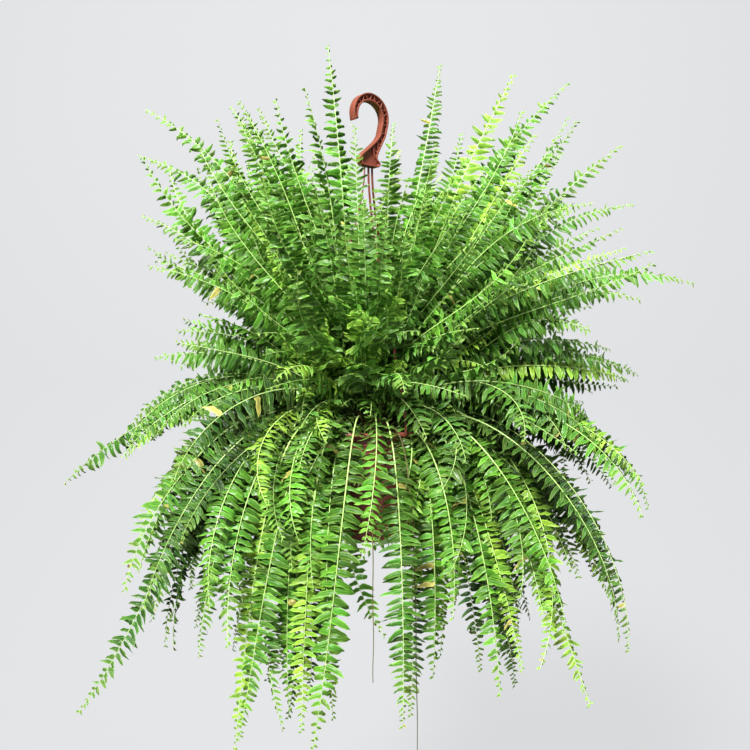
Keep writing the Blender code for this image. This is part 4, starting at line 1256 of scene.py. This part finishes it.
LENGTH = {"subtype": "DISTANCE", "unit": "LENGTH"}
ANGLE = {"subtype": "ANGLE", "unit": "ROTATION"}
POWER = {"subtype": "POWER", "unit": "POWER", "min": 0.0, "max": 1000.0}
COLOUR = {"subtype": "COLOR", "min": 0.0, "max": 1.0}


class FernLeaves(bpy.types.PropertyGroup):
    length: FloatProperty(name="Leaflet Length", description="Length of the longest leaflets", default=28 * MM,
                          min=5 * MM, max=60 * MM, **LENGTH)
    width: FloatProperty(name="Leaflet Width", description="Width of the widest leaflets", default=6.9 * MM,
                         min=2 * MM, max=30 * MM, **LENGTH)
    spacing: FloatProperty(name="Leaflet Spacing", description="Between the leaflets of one side", default=8.2 * MM,
                           min=3 * MM, max=40 * MM, **LENGTH)
    stalk: FloatProperty(name="Stalk Width", description="Width of a stalk at its base", default=2.4 * MM,
                         min=0.5 * MM, max=8 * MM, **LENGTH)
    droop: FloatProperty(name="Droop", description="Angle of the leaflets below the blade's plane", default=0.16,
                         min=-1.5, max=1.5, **ANGLE)
    curl: FloatProperty(name="Curl", description="How far the leaflets' tips curl down", default=1.15,
                        min=-2.0, max=3.0, **ANGLE)
    twist: FloatProperty(name="Twist", description="Spread of the leaflets' twist along their length", default=0.55,
                         min=0.0, max=2.0, **ANGLE)
    deep: FloatVectorProperty(name="Deep Green", description="Colour of the lowest fronds",
                              default=(0.003, 0.040, 0.010), **COLOUR)
    bright: FloatVectorProperty(name="Bright Green", description="Colour of the highest fronds",
                                default=(0.058, 0.208, 0.012), **COLOUR)
    young: FloatVectorProperty(name="Young Green", description="Colour of the young fronds",
                               default=(0.230, 0.430, 0.040), **COLOUR)


class FernPot(bpy.types.PropertyGroup):
    colour: FloatVectorProperty(name="Plastic", description="Colour of the moulded plastic",
                                default=(0.255, 0.062, 0.036), **COLOUR)
    dust: FloatVectorProperty(name="Dust", description="Colour of the bloom on faces that look up",
                              default=(0.40, 0.18, 0.115), **COLOUR)


class FernStage(bpy.types.PropertyGroup):
    wall: FloatVectorProperty(name="Wall", description="Colour of the wall and floor",
                              default=(0.12, 0.122, 0.125), **COLOUR)
    glow: FloatProperty(name="Wall Glow", description="Light that the wall adds to what falls on it", default=0.66,
                        min=0.0, max=5.0)
    key: FloatProperty(name="Key Light", description="Power of the light from the upper left", default=190.0, **POWER)
    fill: FloatProperty(name="Fill Light", description="Power of the light from the right", default=8.0, **POWER)
    top: FloatProperty(name="Top Light", description="Power of the light from above", default=60.0, **POWER)
    bounce: FloatProperty(name="Bounce Light", description="Power of the light from below", default=7.0, **POWER)
    ambient: FloatProperty(name="Ambient", description="Strength of the even light from all round", default=0.06,
                           min=0.0, max=5.0)


OPERATORS = (
    FERN_OT_fronds, FERN_OT_filler_fronds, FERN_OT_runners, FERN_OT_hook, FERN_OT_straps, FERN_OT_pot,
    FERN_OT_saucer, FERN_OT_soil, FERN_OT_crown, FERN_OT_stage)


class FERN_PT_panel(bpy.types.Panel):
    """The settings of the fern, pot and stage, and a button for each piece"""

    bl_idname = "FERN_PT_panel"
    bl_label = "Hanging Fern"
    bl_space_type = "VIEW_3D"
    bl_region_type = "UI"
    bl_category = "Fern"

    def draw(self, context):
        for group in (context.scene.fern_leaves, context.scene.fern_pot, context.scene.fern_stage):
            box = self.layout.box()
            for name in group.__annotations__:
                box.prop(group, name)
        column = self.layout.column(align=True)
        for operator in OPERATORS:
            column.operator(operator.bl_idname)


GROUPS = (("fern_leaves", FernLeaves), ("fern_pot", FernPot), ("fern_stage", FernStage))


def register():
    """Registers the settings, then the operators and the panel that use them."""
    for name, group in GROUPS:
        bpy.utils.register_class(group)
        setattr(bpy.types.Scene, name, PointerProperty(type=group))
    for operator in OPERATORS:
        bpy.utils.register_class(operator)
    bpy.utils.register_class(FERN_PT_panel)


def unregister():
    """Takes away what register added, last first."""
    bpy.utils.unregister_class(FERN_PT_panel)
    for operator in reversed(OPERATORS):
        bpy.utils.unregister_class(operator)
    for name, group in reversed(GROUPS):
        delattr(bpy.types.Scene, name)
        bpy.utils.unregister_class(group)


def main():
    """Makes every piece and the stage."""
    register()
    bpy.ops.fern.fronds()
    bpy.ops.fern.filler_fronds()
    bpy.ops.fern.runners()
    bpy.ops.fern.hook()
    bpy.ops.fern.straps()
    bpy.ops.fern.pot()
    bpy.ops.fern.saucer()
    bpy.ops.fern.soil()
    bpy.ops.fern.crown()
    bpy.ops.fern.stage()
    bpy.context.view_layer.update()


if __name__ == "__main__":
    main()
